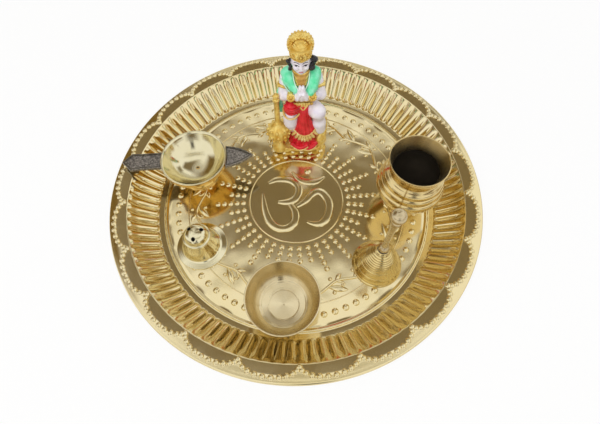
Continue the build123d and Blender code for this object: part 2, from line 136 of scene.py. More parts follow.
def ovalLine(radius, height, wide, tall, count):
    angles = [math.tau * k / count for k in range(count)]
    return [(radius + wide * math.cos(a), height + tall * math.sin(a)) for a in angles]


def turnedShape(line, steps=96, ring=False):
    # spins a line of (radius, height); ring closes a line that stays clear of the axis
    bm = bmesh.new()
    along = bm.verts.layers.float.new("alongProfile")
    verts = []
    length = 0.0
    for index, point in enumerate(line):
        if index:
            length += (Vector(point) - Vector(line[index - 1])).length
        vert = bm.verts.new((point[0], 0, point[1]))
        vert[along] = length
        verts.append(vert)
    edges = [bm.edges.new(pair) for pair in zip(verts, verts[1:])]
    if ring:
        edges.append(bm.edges.new((verts[-1], verts[0])))
    bmesh.ops.spin(bm, geom=verts + edges, cent=(0, 0, 0), axis=(0, 0, 1), dvec=(0, 0, 0),
                   angle=math.tau, steps=steps, use_merge=True)
    bmesh.ops.remove_doubles(bm, verts=bm.verts, dist=1e-4)
    bmesh.ops.recalc_face_normals(bm, faces=bm.faces)
    outward = bm.verts.layers.float_vector.new("outward")
    for vert in bm.verts:
        vert[outward] = (vert.co.x, vert.co.y, 0)
    return bm


def evaluatedMesh(thing):
    bpy.context.view_layer.update()
    return bpy.data.meshes.new_from_object(thing.evaluated_get(bpy.context.evaluated_depsgraph_get()))


def bakedMesh(data, modifiers=()):
    # mesh of a curve, or of a mesh with modifiers given as (kind, settings)
    holder = addObject("holder", data)
    for kind, settings in modifiers:
        modifier = holder.modifiers.new(kind, kind)
        for key, value in settings.items():
            setattr(modifier, key, value)
    mesh = evaluatedMesh(holder)
    bpy.data.objects.remove(holder)
    bm = bmesh.new()
    bm.from_mesh(mesh)
    bpy.data.meshes.remove(mesh)
    return bm


def newCurve(name, resolution):
    curve = bpy.data.curves.new(name, "CURVE")
    curve.dimensions = "3D"
    curve.resolution_u = resolution
    curve.use_fill_caps = True
    return curve


def addStroke(curve, points, closed):
    # points are (x, y, z, share of the width)
    spline = curve.splines.new("NURBS")
    spline.points.add(len(points) - 1)
    for point, (x, y, z, share) in zip(spline.points, points):
        point.co = (x, y, z, 1)
        point.radius = share
    spline.order_u = 3
    spline.use_cyclic_u = closed
    spline.use_endpoint_u = not closed


def standAt(bm, place):
    bmesh.ops.translate(bm, vec=(place[0], place[1], place[2] if len(place) > 2 else 0), verts=bm.verts)
    return bm


def facing(direction, front="Z"):
    return Vector(direction).to_track_quat(front, "Y").to_matrix().to_4x4()


# Materials. A noise scale is one over the size of the mark in metres
# Pressed sheet brass, buffed to a mirror: pale yellow, slightly uneven reflections, fine rubbing marks

def pressedBrass():
    material, tree, shader = newMaterial("pressed brass sheet")
    spot = addNode(tree, "TexCoord").outputs["Object"]
    sheetWave = addNode(tree, "TexNoise", {"Scale": 1 / 0.024, "Detail": 1.0}, {"Vector": spot})
    rubbing = addNode(tree, "TexNoise", {"Scale": 1 / 0.0016, "Detail": 3.0}, {"Vector": spot})
    stain = addNode(tree, "TexNoise", {"Scale": 1 / 0.045, "Detail": 4.0}, {"Vector": spot})
    tone = addNode(tree, "Mix", {"data_type": "RGBA", "A": hexColour("#EFE2BC"), "B": hexColour("#E9D69C")},
                   {"Factor": stain})
    gloss = addNode(tree, "MapRange", {"To Min": 0.09, "To Max": 0.16}, {"Value": rubbing})
    wave = addNode(tree, "Bump", {"Strength": 0.25, "Distance": 0.0009}, {"Height": sheetWave})
    marks = addNode(tree, "Bump", {"Strength": 0.06, "Distance": 0.0001}, {"Height": rubbing, "Normal": wave})
    setNode(tree, shader, {"Metallic": 1.0}, {"Base Color": tone, "Roughness": gloss, "Normal": marks})
    return material


# Lathe-turned brass: fine rings left by the tool, which follow the profile, and a polished or satin finish

def turnedBrass(name, light, deep, glossRange, toolStep=0.9, ringDepth=0.00006, stretch=0.0):
    material, tree, shader = newMaterial(name)
    spot = addNode(tree, "TexCoord").outputs["Object"]
    along = addNode(tree, "Attribute", {"attribute_name": "alongProfile"}).outputs["Fac"]
    outward = addNode(tree, "Attribute", {"attribute_name": "outward"}).outputs["Vector"]
    rings = addNode(tree, "TexNoise", {"noise_dimensions": "1D", "Scale": 1 / toolStep, "Detail": 2.0},
                    {"W": along})
    stain = addNode(tree, "TexNoise", {"Scale": 1 / 0.012, "Detail": 4.0}, {"Vector": spot})
    tone = addNode(tree, "Mix", {"data_type": "RGBA", "A": hexColour(light), "B": hexColour(deep)},
                   {"Factor": stain})
    gloss = addNode(tree, "MapRange", {"To Min": glossRange[0], "To Max": glossRange[1]}, {"Value": rings})
    marks = addNode(tree, "Bump", {"Strength": 0.5, "Distance": ringDepth}, {"Height": rings})
    setNode(tree, shader, {"Metallic": 1.0, "Anisotropic": stretch},
            {"Tangent": outward, "Base Color": tone, "Roughness": gloss, "Normal": marks})
    return material


# Cast metal left as it came from sand: grey, gritty, with bright specks where it was rubbed

def sandCastMetal(name, dark, light, grain, relief):
    material, tree, shader = newMaterial(name)
    spot = addNode(tree, "TexCoord").outputs["Object"]
    grit = addNode(tree, "TexNoise", {"Scale": 1 / grain, "Detail": 5.0, "Roughness": 0.65}, {"Vector": spot})
    tone = addNode(tree, "ValToRGB", None, {"Fac": grit})
    for stop, position, colour in zip(tone.color_ramp.elements, (0.38, 0.64), (dark, light)):
        stop.position = position
        stop.color = hexColour(colour)
    bumps = addNode(tree, "Bump", {"Strength": relief, "Distance": 0.0005}, {"Height": grit})
    setNode(tree, shader, {"Metallic": 0.85, "Roughness": 0.42}, {"Base Color": tone, "Normal": bumps})
    return material


# Painted shade: a dull brown-black colour with a faint sheen, laid inside the pot, in the stick holes, in the
# bell's groove and in the rivet's dent, where shade falls

def paintedShadeBlack():
    material, tree, shader = newMaterial("painted shade black")
    spot = addNode(tree, "TexCoord").outputs["Object"]
    cloud = addNode(tree, "TexNoise", {"Scale": 1 / 0.006, "Detail": 3.0}, {"Vector": spot})
    tone = addNode(tree, "Mix", {"data_type": "RGBA", "A": hexColour("#2A251F"), "B": hexColour("#3E372D")},
                   {"Factor": cloud})
    gloss = addNode(tree, "MapRange", {"To Min": 0.35, "To Max": 0.55}, {"Value": cloud})
    setNode(tree, shader, None, {"Base Color": tone, "Roughness": gloss})
    return material


# Drawn iron wire: dark grey with a brown tinge, streaked along its length

def drawnWire():
    material, tree, shader = newMaterial("drawn iron wire")
    spot = addNode(tree, "TexCoord").outputs["Object"]
    stretch = addNode(tree, "Mapping", {"Scale": (1 / 0.0004, 1 / 0.0004, 1 / 0.006)}, {"Vector": spot})
    streak = addNode(tree, "TexNoise", {"Scale": 1.0, "Detail": 3.0}, {"Vector": stretch})
    tone = addNode(tree, "Mix", {"data_type": "RGBA", "A": hexColour("#6B655F"), "B": hexColour("#8C857C")},
                   {"Factor": streak})
    setNode(tree, shader, {"Metallic": 1.0, "Roughness": 0.4}, {"Base Color": tone})
    return material


# Enamel paint brushed on resin: glossy, thicker and thinner in places, with a drifting colour and uneven skin

def brushedPaint(name, light, deep, gloss=0.28, metallic=0.0):
    material, tree, shader = newMaterial(name)
    spot = addNode(tree, "TexCoord").outputs["Object"]
    patch = addNode(tree, "TexNoise", {"Scale": 1 / 0.0045, "Detail": 3.0}, {"Vector": spot})
    drift = addNode(tree, "MapRange", {"From Min": 0.3, "From Max": 0.7}, {"Value": patch})
    brush = addNode(tree, "TexNoise", {"Scale": 1 / 0.0009, "Detail": 2.0}, {"Vector": spot})
    tone = addNode(tree, "Mix", {"data_type": "RGBA", "A": hexColour(light), "B": hexColour(deep)},
                   {"Factor": drift})
    sheen = addNode(tree, "MapRange", {"To Min": gloss * 0.7, "To Max": gloss * 1.4}, {"Value": patch})
    skin = addNode(tree, "Bump", {"Strength": 0.25, "Distance": 0.00012}, {"Height": brush})
    setNode(tree, shader, {"Metallic": metallic}, {"Base Color": tone, "Roughness": sheen, "Normal": skin})
    return material


plateBrass = pressedBrass()
polishedBrass = turnedBrass("polished turned brass", "#E6C67C", "#D2AC5E", (0.07, 0.15))
bellBrass = turnedBrass("ringed bell brass", "#E6D59E", "#D2BA7E", (0.07, 0.15))
spunBrass = turnedBrass("spun brass", "#E6D3A0", "#D6BC80", (0.08, 0.16))
paleBrass = turnedBrass("pale spun brass", "#ECE4C4", "#E0D5AA", (0.06, 0.14))
wornBrass = turnedBrass("hand worn brass", "#DDCEAA", "#BCA67E", (0.2, 0.32))
satinBrass = turnedBrass("satin turned brass", "#EADDB8", "#D6C294", (0.14, 0.21), 0.45, 0.00002, 1.0)
dullBrass = turnedBrass("dull turned brass", "#E6D6AE", "#D0BA88", (0.18, 0.28), 0.6, 0.00006, 0.8)
castMetal = sandCastMetal("sand cast metal", "#55504E", "#B8B2AA", 0.0012, 1.0)
# darker copy of the cast metal: painted shade along the handle's raised border and its bank
shadedCastEdge = sandCastMetal("cast edge with painted shade", "#4C4842", "#807A6C", 0.002, 0.15)
# black that stands for shade in hollows
shadeBlack = paintedShadeBlack()
ironWire = drawnWire()
goldPaint = brushedPaint("gold paint", "#F8E28C", "#D8A93E", 0.3, 0.5)
paleGoldPaint = brushedPaint("pale gold paint", "#FAEBB4", "#E0B858", 0.28, 0.45)
# brown-gold that stands for the shade under the collar
shadeGoldPaint = brushedPaint("gold paint with painted shade", "#D9AE5C", "#A87A34", 0.34, 0.3)
whitePaint = brushedPaint("white enamel", "#F6F2F6", "#E3DCEA")
greenPaint = brushedPaint("green enamel", "#98F0CC", "#4CDC9C")
paleGreenPaint = brushedPaint("pale green enamel", "#DDF4E6", "#B4E8CF")
redPaint = brushedPaint("red enamel", "#E62E3A", "#B8151E", 0.22)
blackPaint = brushedPaint("black enamel", "#1B1A1E", "#2B292F", 0.25)
rosePaint = brushedPaint("rose enamel", "#CF8790", "#BC6C78")
print("materials mixed")


# Plate: pressed sheet with fluted wall, flat rim and curled lip

plate = {
    "lipRadius": 150.0,
    "lipCurl": 3.0,
    "height": 25.2,
    "sheet": 1.2,
    "floorLoops": (0, 20, 38, 46, 54, 62, 67, 70.5, 74, 77.5, 81, 84.5, 88, 91.5, 95, 99, 103, 107, 109.4),
    "underLoops": (80, 40, 0),
    "waveStart": 55.0,  # where the floor grows uneven, over which width, with which size and height
    "waveRun": 20.0,
    "waveSize": 13.0,
    "waveRise": 0.3,
    "beadRing": (109.8, 113.2, 1.3),  # inner and outer radius, rise
    "beadTooth": 0.6,
    "coveRise": 0.73,  # rise of the floor between the bead ring and the wall
    "covePower": 1.15,
    "coveEnd": 0.07,  # share of the wall where the cove runs out
    "coveLoops": (0.0, 0.12, 0.4, 0.7, 0.9),
    "wallFoot": 116.5,
    "wallBow": 2.2,  # hollow of the wall below a straight line
    "wallLoops": (0.0, 0.02, 0.04, 0.06, 0.07, 0.09, 0.12, 0.16, 0.22, 0.3, 0.4, 0.52, 0.64, 0.75, 0.85, 0.92,
                  0.97, 1.0),
    "ribCount": 105,
    "ribSteps": 8,
    "ribDepth": 2.1,
    "ribPower": 2.3,  # roundness of a rib across
    "ribFoot": 0.06,  # share of the wall below the ribs
    "ribEnd": 0.2,  # share of the wall taken by their rounded lower ends
    "ribHead": 0.08,  # share where they run out at the top
    "ribThin": 0.45,  # share of their depth lost on the upper half
    "rimInner": 136.46,
    "rimLoops": (137.2, 0.6, 16),  # first radius, step and count
    "rimDrop": 0.5,  # the field inside the scallops starts lower by this
    "rimInset": 1.5,  # and this far inside their tops
    "rimDip": 0.17,  # its slope
    "rimRound": (141.0, 0.02),  # where the band outside them starts to round off, and how fast
    "scallops": 21,
    "scallopTurn": 4.3,
    "scallopFoot": 137.6,
    "scallopTop": 145.8,
    "scallopBank": 1.3,  # width of the step along the scallops
}


def smooth(value):
    value = min(1.0, max(0.0, value))
    return value * value * (3 - 2 * value)


def scallopRadius(angle):
    pitch = 360 / plate["scallops"]
    share = ((math.degrees(angle) - plate["scallopTurn"]) / pitch + 0.5) % 1.0 * 2 - 1
    rise = plate["scallopTop"] - plate["scallopFoot"]
    return plate["scallopFoot"] + rise * math.sqrt(max(0.0, 1 - share * share))


def rimLevel(radius, edge):
    # height of the rim: a field that slopes to the middle inside the scallops, and a level band outside them
    inside = max(0.0, plate["scallopTop"] - plate["rimInset"] - radius)
    field = plate["height"] - plate["rimDrop"] - plate["rimDip"] * inside
    start, pace = plate["rimRound"]
    outside = plate["height"] - pace * max(0.0, radius - start) ** 2
    return field + (outside - field) * smooth((radius - edge) / plate["scallopBank"] + 0.5)


def plateLine():
    # upper side from the centre to the lip, then the under side back to the centre
    sheet, height, foot = plate["sheet"], plate["height"], plate["wallFoot"]
    ringIn, ringOut, rise = plate["beadRing"]
    upper = [(r, sheet) for r in (*plate["floorLoops"], ringIn)]
    for t in (1 / 6, 2 / 6, 3 / 6, 4 / 6, 5 / 6):
        upper.append((ringIn + (ringOut - ringIn) * t, sheet + rise * math.sin(math.pi * t)))
    trough, cove = foot - ringOut, plate["coveRise"]
    upper += [(ringOut + trough * t, sheet + cove * t ** plate["covePower"]) for t in plate["coveLoops"]]
    run = plate["rimInner"] - foot
    climb = rimLevel(plate["rimInner"], plate["scallopTop"]) - sheet
    length = math.hypot(run, climb)
    wall = []
    for t in plate["wallLoops"]:
        bow = plate["wallBow"] * 4 * t * (1 - t)
        lift = cove * max(0.0, 1 - t / plate["coveEnd"])
        wall.append((run * t + bow * climb / length, climb * t - bow * run / length + lift))
    upper += [(foot + r, sheet + z) for r, z in wall]
    first, step, count = plate["rimLoops"]
    upper += [(first + step * k, height) for k in range(count)]
    lipCentre = (plate["lipRadius"] - plate["lipCurl"], height - plate["lipCurl"])
    upper += arcLine(lipCentre, plate["lipCurl"], 90, -10, 8)
    under = arcLine(lipCentre, plate["lipCurl"] - sheet, -10, 90, 6)
    shift = sheet * math.tan(math.atan2(climb, run) / 2)
    under += [(plate["rimInner"] + shift + sheet, height - sheet)]
    under += [(foot + shift + r, z) for r, z in reversed(wall)]
    under += [(r, 0) for r in (ringOut, ringIn, *plate["underLoops"])]
    return upper + under


def ribRise(angle, share):
    # convex ribs towards the middle, with rounded lower ends
    turn = angle / math.tau * plate["ribCount"]
    across = abs((turn + 0.5) % 1.0 * 2 - 1)
    end = min(1.0, max(0.0, share - plate["ribFoot"]) / plate["ribEnd"])
    reach = math.sqrt(max(0.0, 1 - (1 - end) ** 2))
    return plate["ribDepth"] * max(0.0, reach - across ** plate["ribPower"])


def pressPlate(bm):
    sheet, height = plate["sheet"], plate["height"]
    foot, head = plate["wallFoot"], plate["rimInner"]
    slope = math.atan2(rimLevel(head, plate["scallopTop"]) - sheet, head - foot)
    ringIn, ringOut = plate["beadRing"][:2]
    toothSteps = plate["ribCount"] * plate["ribSteps"]
    for vert in bm.verts:
        x, y, z = vert.co
        radius, angle = math.hypot(x, y), math.atan2(y, x) % math.tau
        if radius < 1:
            continue
        outward = Vector((x / radius, y / radius, 0))
        if ringIn < radius < ringOut and z > sheet + 0.1:
            tooth = round(angle / math.tau * toothSteps) % 2
            vert.co.z -= plate["beadTooth"] * tooth
        elif radius <= ringIn and z > sheet / 2:
            wave = noise.noise(Vector((x, y, 7.0)) / plate["waveSize"])
            vert.co.z += plate["waveRise"] * smooth((radius - plate["waveStart"]) / plate["waveRun"]) * wave
        elif foot - 0.1 < radius < head + 0.7:
            share = min(1.0, max(0.0, (radius - foot) / (head - foot)))
            thin = 1 - plate["ribThin"] * smooth((share - 0.5) / 0.5)
            lift = ribRise(angle, share) * thin * smooth((1 - share) / plate["ribHead"])
            vert.co += outward * -lift * math.sin(slope)
            vert.co.z += math.cos(slope) * lift
        if radius > head + 0.5 and z > height - plate["lipCurl"] / 2 - 0.1:
            toLip = smooth((plate["lipRadius"] - radius) / plate["lipCurl"])
            vert.co.z += (rimLevel(radius, scallopRadius(angle)) - height) * toLip
    bmesh.ops.recalc_face_normals(bm, faces=bm.faces)


def plateTrim(name, bm, sharp=40):
    finishPiece(name, bm, [plateBrass], "plate", sharp=sharp)


def makePlate():
    bm = turnedShape(plateLine(), steps=plate["ribCount"] * plate["ribSteps"])
    pressPlate(bm)
    finishPiece("plateSheet", bm, [plateBrass], "plate", ["thali_plate"], sharp=75)


makePlate()
print("plate pressed")


# Raised dots of the plate: bosses punched from below

dots = {
    "dome": [(0, 1), (0.32, 0.97), (0.6, 0.78), (0.82, 0.4)],  # shares of radius and rise
    "sunk": 0.4,  # reach below the floor
    "rows": 40,
    "rowTurn": 2.3,
    "rowRadii": (45.6, 51.1, 56.6, 62.1, 67.6),
    "shortRow": 3,
    "rowDot": (2.35, 1.25),  # radius and rise
    "edgeDots": 72,
    "edgeTurn": 1.0,
    "edgeRadius": 101.2,
    "edgeDot": (2.7, 1.2),
    "scallopDots": 12,
    "scallopDot": (2.1, 1.5),
}


def addDots(bm, spots, size):
    radius, rise = size
    line = [(radius * a, rise * b) for a, b in dots["dome"]]
    line += [(radius, 0.02), (radius * 0.9, -dots["sunk"]), (0, -dots["sunk"])]
    one = meshOf("dot", turnedShape(line, steps=10))
    row = bmesh.new()
    for spot in spots:
        row.from_mesh(one)
        row.verts.ensure_lookup_table()
        bmesh.ops.translate(row, vec=spot, verts=row.verts[-len(one.vertices):])
    bpy.data.meshes.remove(one)
    addMesh(bm, row)


def onCircle(radius, degrees, height=floorTop):
    angle = math.radians(degrees)
    return (radius * math.cos(angle), radius * math.sin(angle), height)


def makeDots():
    rays, arches = [], []
    step = 360 / dots["rows"]
    for row in range(dots["rows"]):
        count = len(dots["rowRadii"]) if row % 2 == 0 else dots["shortRow"]
        rays += [onCircle(radius, dots["rowTurn"] + step * row) for radius in dots["rowRadii"][:count]]
    step = 360 / dots["edgeDots"]
    edge = [onCircle(dots["edgeRadius"], dots["edgeTurn"] + step * k) for k in range(dots["edgeDots"])]
    pitch = 360 / plate["scallops"]
    for arch in range(plate["scallops"]):
        for index in range(dots["scallopDots"]):
            around = math.pi * (index + 0.5) / dots["scallopDots"]
            degrees = plate["scallopTurn"] + pitch * (arch - math.cos(around) / 2)
            radius = scallopRadius(math.radians(degrees))
            arches.append(onCircle(radius, degrees, rimLevel(radius, radius)))
    for name, spots, size in (("rayDots", rays, "rowDot"), ("floorEdgeDots", edge, "edgeDot"),
                              ("scallopDots", arches, "scallopDot")):
        bm = bmesh.new()
        addDots(bm, spots, dots[size])
        plateTrim(name, bm)


makeDots()
print("dots raised")


# Raised lines of the plate: sign, ring and creeper, as ridges pressed in the sheet

sign = {
    "ringRadius": 40.3,
    "ringWidth": 1.5,
    "ringRise": 0.675,
    "strokeWidth": 7.2,
    "strokeRise": 0.7,
    "strokeFlat": 0.68,  # share of the width that is level on top
    "upper": [(-24, 17.4, 0.4), (-19, 20.4, 0.8), (-12, 21.4, 1), (-4, 20.4, 1), (2.4, 14.5, 1),
              (2.6, 5.6, 1), (-2.4, -1.2, 1), (-9, -2.6, 0.9), (-15.5, -2, 0.4)],
    "lower": [(-6, -3.2, 0.5), (-1.2, -9, 0.9), (-0.4, -20.5, 1), (-6, -27, 1), (-14, -28, 1),
              (-22, -22.5, 1), (-26.4, -12.5, 0.9), (-28, -3, 0.7), (-29, 7, 0.3)],
    "tail": [(0.6, -6.6, 0.5), (8, -2.6, 0.8), (14, 6.5, 1), (22, 8.6, 1), (28.6, -1.5, 1), (28.4, -13.5, 1),
             (23, -23, 1), (15.5, -24.4, 0.8), (9, -21.5, 0.3)],
    "moon": [(-3, 28.6, 0.25), (0.4, 23, 0.7), (6.4, 18.6, 0.9), (13.6, 16.8, 1), (20.6, 18.4, 0.8),
             (26, 22.5, 0.3)],
    "dot": (11, 28.5),
    "dotSize": (3.0, 1.2),
}


def ridgeMesh(strokes, width, rise, flat=0.0):
    # each stroke is (points, closed); points are (x, y, share of the width)
    half = width / 2
    right = [(half * flat, rise), (half * (0.5 + flat / 2), rise * 0.75), (half, 0.0), (half, -dots["sunk"])]
    outline = [(-x, y) for x, y in reversed(right)] + right
    section = bpy.data.curves.new("ridgeSection", "CURVE")
    section.dimensions = "2D"
    spline = section.splines.new("POLY")
    spline.points.add(len(outline) - 1)
    for point, (x, y) in zip(spline.points, outline):
        point.co = (x, y, 0, 1)
    spline.use_cyclic_u = True
    curve = newCurve("ridges", 4)
    curve.bevel_mode = "OBJECT"
    curve.bevel_object = addObject("ridgeSection", section)
    curve.twist_mode = "Z_UP"
    for points, closed in strokes:
        addStroke(curve, [(x, y, floorTop, share) for x, y, share in points], closed)
    bm = bakedMesh(curve)
    bpy.data.objects.remove(curve.bevel_object)
    bmesh.ops.remove_doubles(bm, verts=bm.verts, dist=1e-4)
    bmesh.ops.recalc_face_normals(bm, faces=bm.faces)
    return bm


def makeSign():
    strokes = [(sign[name], False) for name in ("upper", "lower", "tail", "moon")]
    bm = ridgeMesh(strokes, sign["strokeWidth"], sign["strokeRise"], sign["strokeFlat"])
    addDots(bm, [(*sign["dot"], floorTop)], sign["dotSize"])
    plateTrim("floorSign", bm, 55)
    ring = ovalLine(sign["ringRadius"], floorTop, sign["ringWidth"] / 2, sign["ringRise"], 8)
    plateTrim("signRing", turnedShape(ring, steps=180, ring=True), 60)


# Creeper round the floor: a common border of a waving stem with leaves, tendrils and berries

creeper = {
    "waves": 12,
    "radius": 83.0,
    "swing": 4.42,
    "stemWidth": 2.3,
    "stemRise": 1.15,
    "leafWidth": 5.4,
    "leafRise": 1.3,
    # at each crest of the stem: degrees along, mm out from the middle, share of the width
    "bigLeaf": [(-5.6, 1.0, 0.2), (-3.4, -0.6, 0.8), (-0.6, -3.0, 1), (1.8, -5.2, 0.75), (3.4, -7.2, 0.1)],
    "smallLeaf": [(-0.6, 3.4, 0.2), (1.2, 5.0, 0.7), (2.8, 6.6, 0.7), (4.6, 7.2, 0.1)],
    "tendril": [(0.4, 3.0, 0.9), (3.2, 0.4, 0.8), (3.0, -2.2, 0.7), (1.6, -1.8, 0.6), (1.7, -0.6, 0.5)],
    "berries": [(-3.6, -4.6), (-3.0, 6.6)],
    "berry": (1.7, 1.15),
    "edgeRing": (92.6, 0.9),  # radius and width of the fine line outside it
}


def makeCreeper():
    middle, half = creeper["radius"], 180 / creeper["waves"]
    stem = []
    for k in range(creeper["waves"] * 4):
        spot = onCircle(middle + creeper["swing"] * math.sin(math.pi * k / 2), half * k / 2)
        stem.append((*spot[:2], 1))
    thin, leaves, berries = [(stem, True)], [], []
    for index in range(creeper["waves"] * 2):
        crest = half * (index + 0.5)
        side = 1 if index % 2 == 0 else -1  # the stem swings outwards, then inwards
        for name, strokes in (("bigLeaf", leaves), ("smallLeaf", leaves), ("tendril", thin)):
            strokes.append(([(*onCircle(middle + side * out, crest + turn)[:2], share)
                             for turn, out, share in creeper[name]], False))
        berries += [onCircle(middle + side * out, crest + turn) for turn, out in creeper["berries"]]
    bm = ridgeMesh(thin, creeper["stemWidth"], creeper["stemRise"])
    addDots(bm, berries, creeper["berry"])
    plateTrim("creeperStem", bm, 60)
    plateTrim("creeperLeaves", ridgeMesh(leaves, creeper["leafWidth"], creeper["leafRise"]), 60)
    radius, width = creeper["edgeRing"]
    line = ovalLine(radius, floorTop, width / 2, width / 2, 8)
    plateTrim("creeperRing", turnedShape(line, steps=240, ring=True), 60)


makeSign()
makeCreeper()
print("sign and creeper raised")


# Turned items. Each stands on the plate floor at its place; heights are from the table, in mm

places = {
    "lamp": (-84.31, 26.58),
    "incense": (-77.71, -40.97),
    "bell": (63.22, -60.20),
    "lota": (91.53, -3.60),
    "bowl": (-11.04, -91.23),
    "idol": (5.95, 68.04),
}


def evenly(line, step):
    # the same line with points at an even step, for pieces with fine tool ridges
    points = [Vector(point) for point in line]
    out = [points[0]]
    for start, end in zip(points, points[1:]):
        count = max(1, math.ceil((end - start).length / step))
        out += [start.lerp(end, k / count) for k in range(1, count + 1)]
    return out


def banded(line, low, high, pitch, depth):
    # round turned bands on the part of a line between two heights, set in from the line
    out, length = [Vector(line[0])], 0.0
    for before, point in zip(line, line[1:]):
        length += (Vector(point) - Vector(before)).length
        inset = depth * (1 - abs(math.sin(math.pi * length / pitch))) if low < point[1] < high else 0
        out.append(Vector((point[0] - inset, point[1])))
    return out


lamp = {
    "bowlMouth": 25.95,
    "bowlBottom": 14.9,
    "bowlPower": 3.2,  # the bottom is flatter than a ball
    "bowlSpread": 1.045,  # outside over inside radius
    "bowlWall": 1.1,
    "bowlThin": 0.55,  # share of the wall lost towards the rim
    "bowlLoops": 40,
    "rim": [(27.0, 30.35), (27.43, 30.5, 0.3), (27.43, 31.2, 0.3), (26.8, 31.2, 0.15), (26.62, 30.95, 0.1),
            (26.42, 31.12, 0.15), (25.95, 30.85)],
    "foot": [(0, 10.65), (8.0, 10.65, 0.6), (8.0, 1.2, 0.3), (15.5, 1.2, 0.3), (15.5, 2.2, 0.5),
             (14.4, 2.6, 0.4), (14.2, 3.6, 0.8), (12.0, 6.0, 2.2), (11.0, 11.0, 3.0), (11.0, 14.3),
             (0, 13.8)],
    "rivet": [(0, 9.85), (2.4, 9.85, 0.4), (2.4, 10.65), (1.3, 10.65), (1.7, 14.95), (1.5, 15.25, 0.15),
              (0.85, 15.35, 0.1), (0.8, 15.05), (0, 15.0)],
    "rivetDentShade": (0.82, 14.6),  # radius and lowest height of its dent, painted black as shade
    "handleTurn": 2.65,
    "handleLow": 27.2,
    "handleThick": 2.8,
    "collarRadius": 27.35,
    "collarBall": (43.95, 30.3),  # height of the centre and radius of the ball inside it
    "strip": [(-26.4, 7.5), (-44, 7.5), (-51.8, 8.2), (-59.3, 0.0)],
    "leaf": [(26.4, 10.2), (33.0, 9.0), (38.4, 7.0), (44.5, 3.6), (49.3, 0.0)],
    "edgeRound": 0.5,
    "borderWidth": 1.3,
    "borderRise": 0.6,
    "borderBank": 0.3,
}


def makeLamp():
    depth = lamp["rim"][-1][1] - lamp["bowlBottom"]
    shares = [k / lamp["bowlLoops"] for k in range(lamp["bowlLoops"] + 1)]
    inner = [(lamp["bowlMouth"] * t, lamp["bowlBottom"] + depth * t ** lamp["bowlPower"]) for t in shares]
    skin = [(r * lamp["bowlSpread"], z - lamp["bowlWall"] * (1 - lamp["bowlThin"] * t))
            for (r, z), t in zip(inner, shares)]
    line = skin[:-1] + rounded(lamp["rim"], 3) + inner[-2::-1]
    bm = standAt(turnedShape(line, steps=128), places["lamp"])
    # faces turned down take the deeper gold brass of the foot: painted warm shade under the bowl, standing
    # for bounced light
    for face in bm.faces:
        face.material_index = 1 if face.normal.z < -0.1 else 0
    finishPiece("lampBowl", bm, [paleBrass, polishedBrass], "lamp", ["lamp_cup"])
    bm = standAt(turnedShape(rounded(lamp["foot"])), places["lamp"])
    finishPiece("lampFoot", bm, [polishedBrass], "lamp", ["lamp_foot"])
    bm = turnedShape(rounded(lamp["rivet"]), steps=32)
    dentRadius, dentLow = lamp["rivetDentShade"]
    # the dent at its end is painted black as shade
    for face in bm.faces:
        middle = face.calc_center_median()
        if middle.z > dentLow and middle.xy.length < dentRadius:
            face.material_index = 1
    standAt(bm, places["lamp"])
    finishPiece("lampRivet", bm, [polishedBrass, shadeBlack], "lamp", ["lamp_rivet"])

    # handle: flat casting with a raised border, and the collar that joins its two arms under the rim
    low, thick = lamp["handleLow"], lamp["handleThick"]
    centre, ballRadius = lamp["collarBall"]
    collar = [(lamp["collarRadius"], low), (lamp["collarRadius"], low + thick)]
    for z in (low + thick, low + thick / 2, low):
        collar.append((math.sqrt(ballRadius ** 2 - (centre - z) ** 2), z))
    bm = turnedShape(collar, ring=True)
    for face in bm.faces:
        face.material_index = 2
    for arm in (lamp["strip"], lamp["leaf"]):
        outline = [(x, y) for x, y in arm] + [(x, -y) for x, y in reversed(arm[:-1])]
        if arm[0][0] > 0:
            outline.reverse()
        face = bm.faces.new([bm.verts.new((x, y, low)) for x, y in outline])
        grown = bmesh.ops.extrude_face_region(bm, geom=[face])["geom"]
        lifted = [g for g in grown if isinstance(g, bmesh.types.BMVert)]
        bmesh.ops.translate(bm, vec=(0, 0, thick), verts=lifted)
        top = next(g for g in grown if isinstance(g, bmesh.types.BMFace))
        bmesh.ops.bevel(bm, geom=list(top.edges), offset=lamp["edgeRound"], segments=3, profile=0.5,
                        affect="EDGES", material=-1)
        top = max((f for f in bm.faces if abs(f.normal.z) > 0.9 and len(f.verts) >= len(outline)),
                  key=lambda f: (f.calc_center_median().z > low + thick / 2, f.calc_area()))
        # the border and the bank down into the sunken middle take the darker cast metal as painted shade
        for width, rise in ((lamp["borderWidth"], 0), (lamp["borderBank"], -lamp["borderRise"])):
            for face in bmesh.ops.inset_region(bm, faces=[top], thickness=width, depth=rise)["faces"]:
                face.material_index = 1
    bmesh.ops.recalc_face_normals(bm, faces=bm.faces)
    turn = Matrix.Rotation(math.radians(lamp["handleTurn"]), 3, "Z")
    bmesh.ops.rotate(bm, cent=(0, 0, 0), matrix=turn, verts=bm.verts)
    standAt(bm, places["lamp"])
    finishPiece("lampHandle", bm, [castMetal, shadedCastEdge, polishedBrass], "lamp",
                ["lamp_handle"], sharp=30)


incense = {
    "base": [(0, 1.2), (20.5, 1.2, 0.3), (20.5, 2.3, 0.4), (15.8, 3.2, 1.2), (14.2, 4.6, 1.6),
             (12.6, 9.5, 3.5), (9.5, 16.6, 1.2), (9.2, 17.7, 0.3), (0, 17.7)],
    "head": [(0, 17.75), (8.2, 17.75, 0.2), (8.2, 20.6, 0.8), (10.6, 21.0, 0.5), (11.0, 21.7, 0.5),
             (10.5, 22.5, 0.5), (9.5, 22.7, 0.3), (9.2, 25.2, 3.0), (6.6, 28.6, 2.5), (0, 29.3)],
    "holes": 3,
    "holeRadius": 1.55,
    "holeCircle": 5.5,
    "holeTurn": 25.0,
    "holeFloor": 18.5,
    "drillLength": 30.0,
}


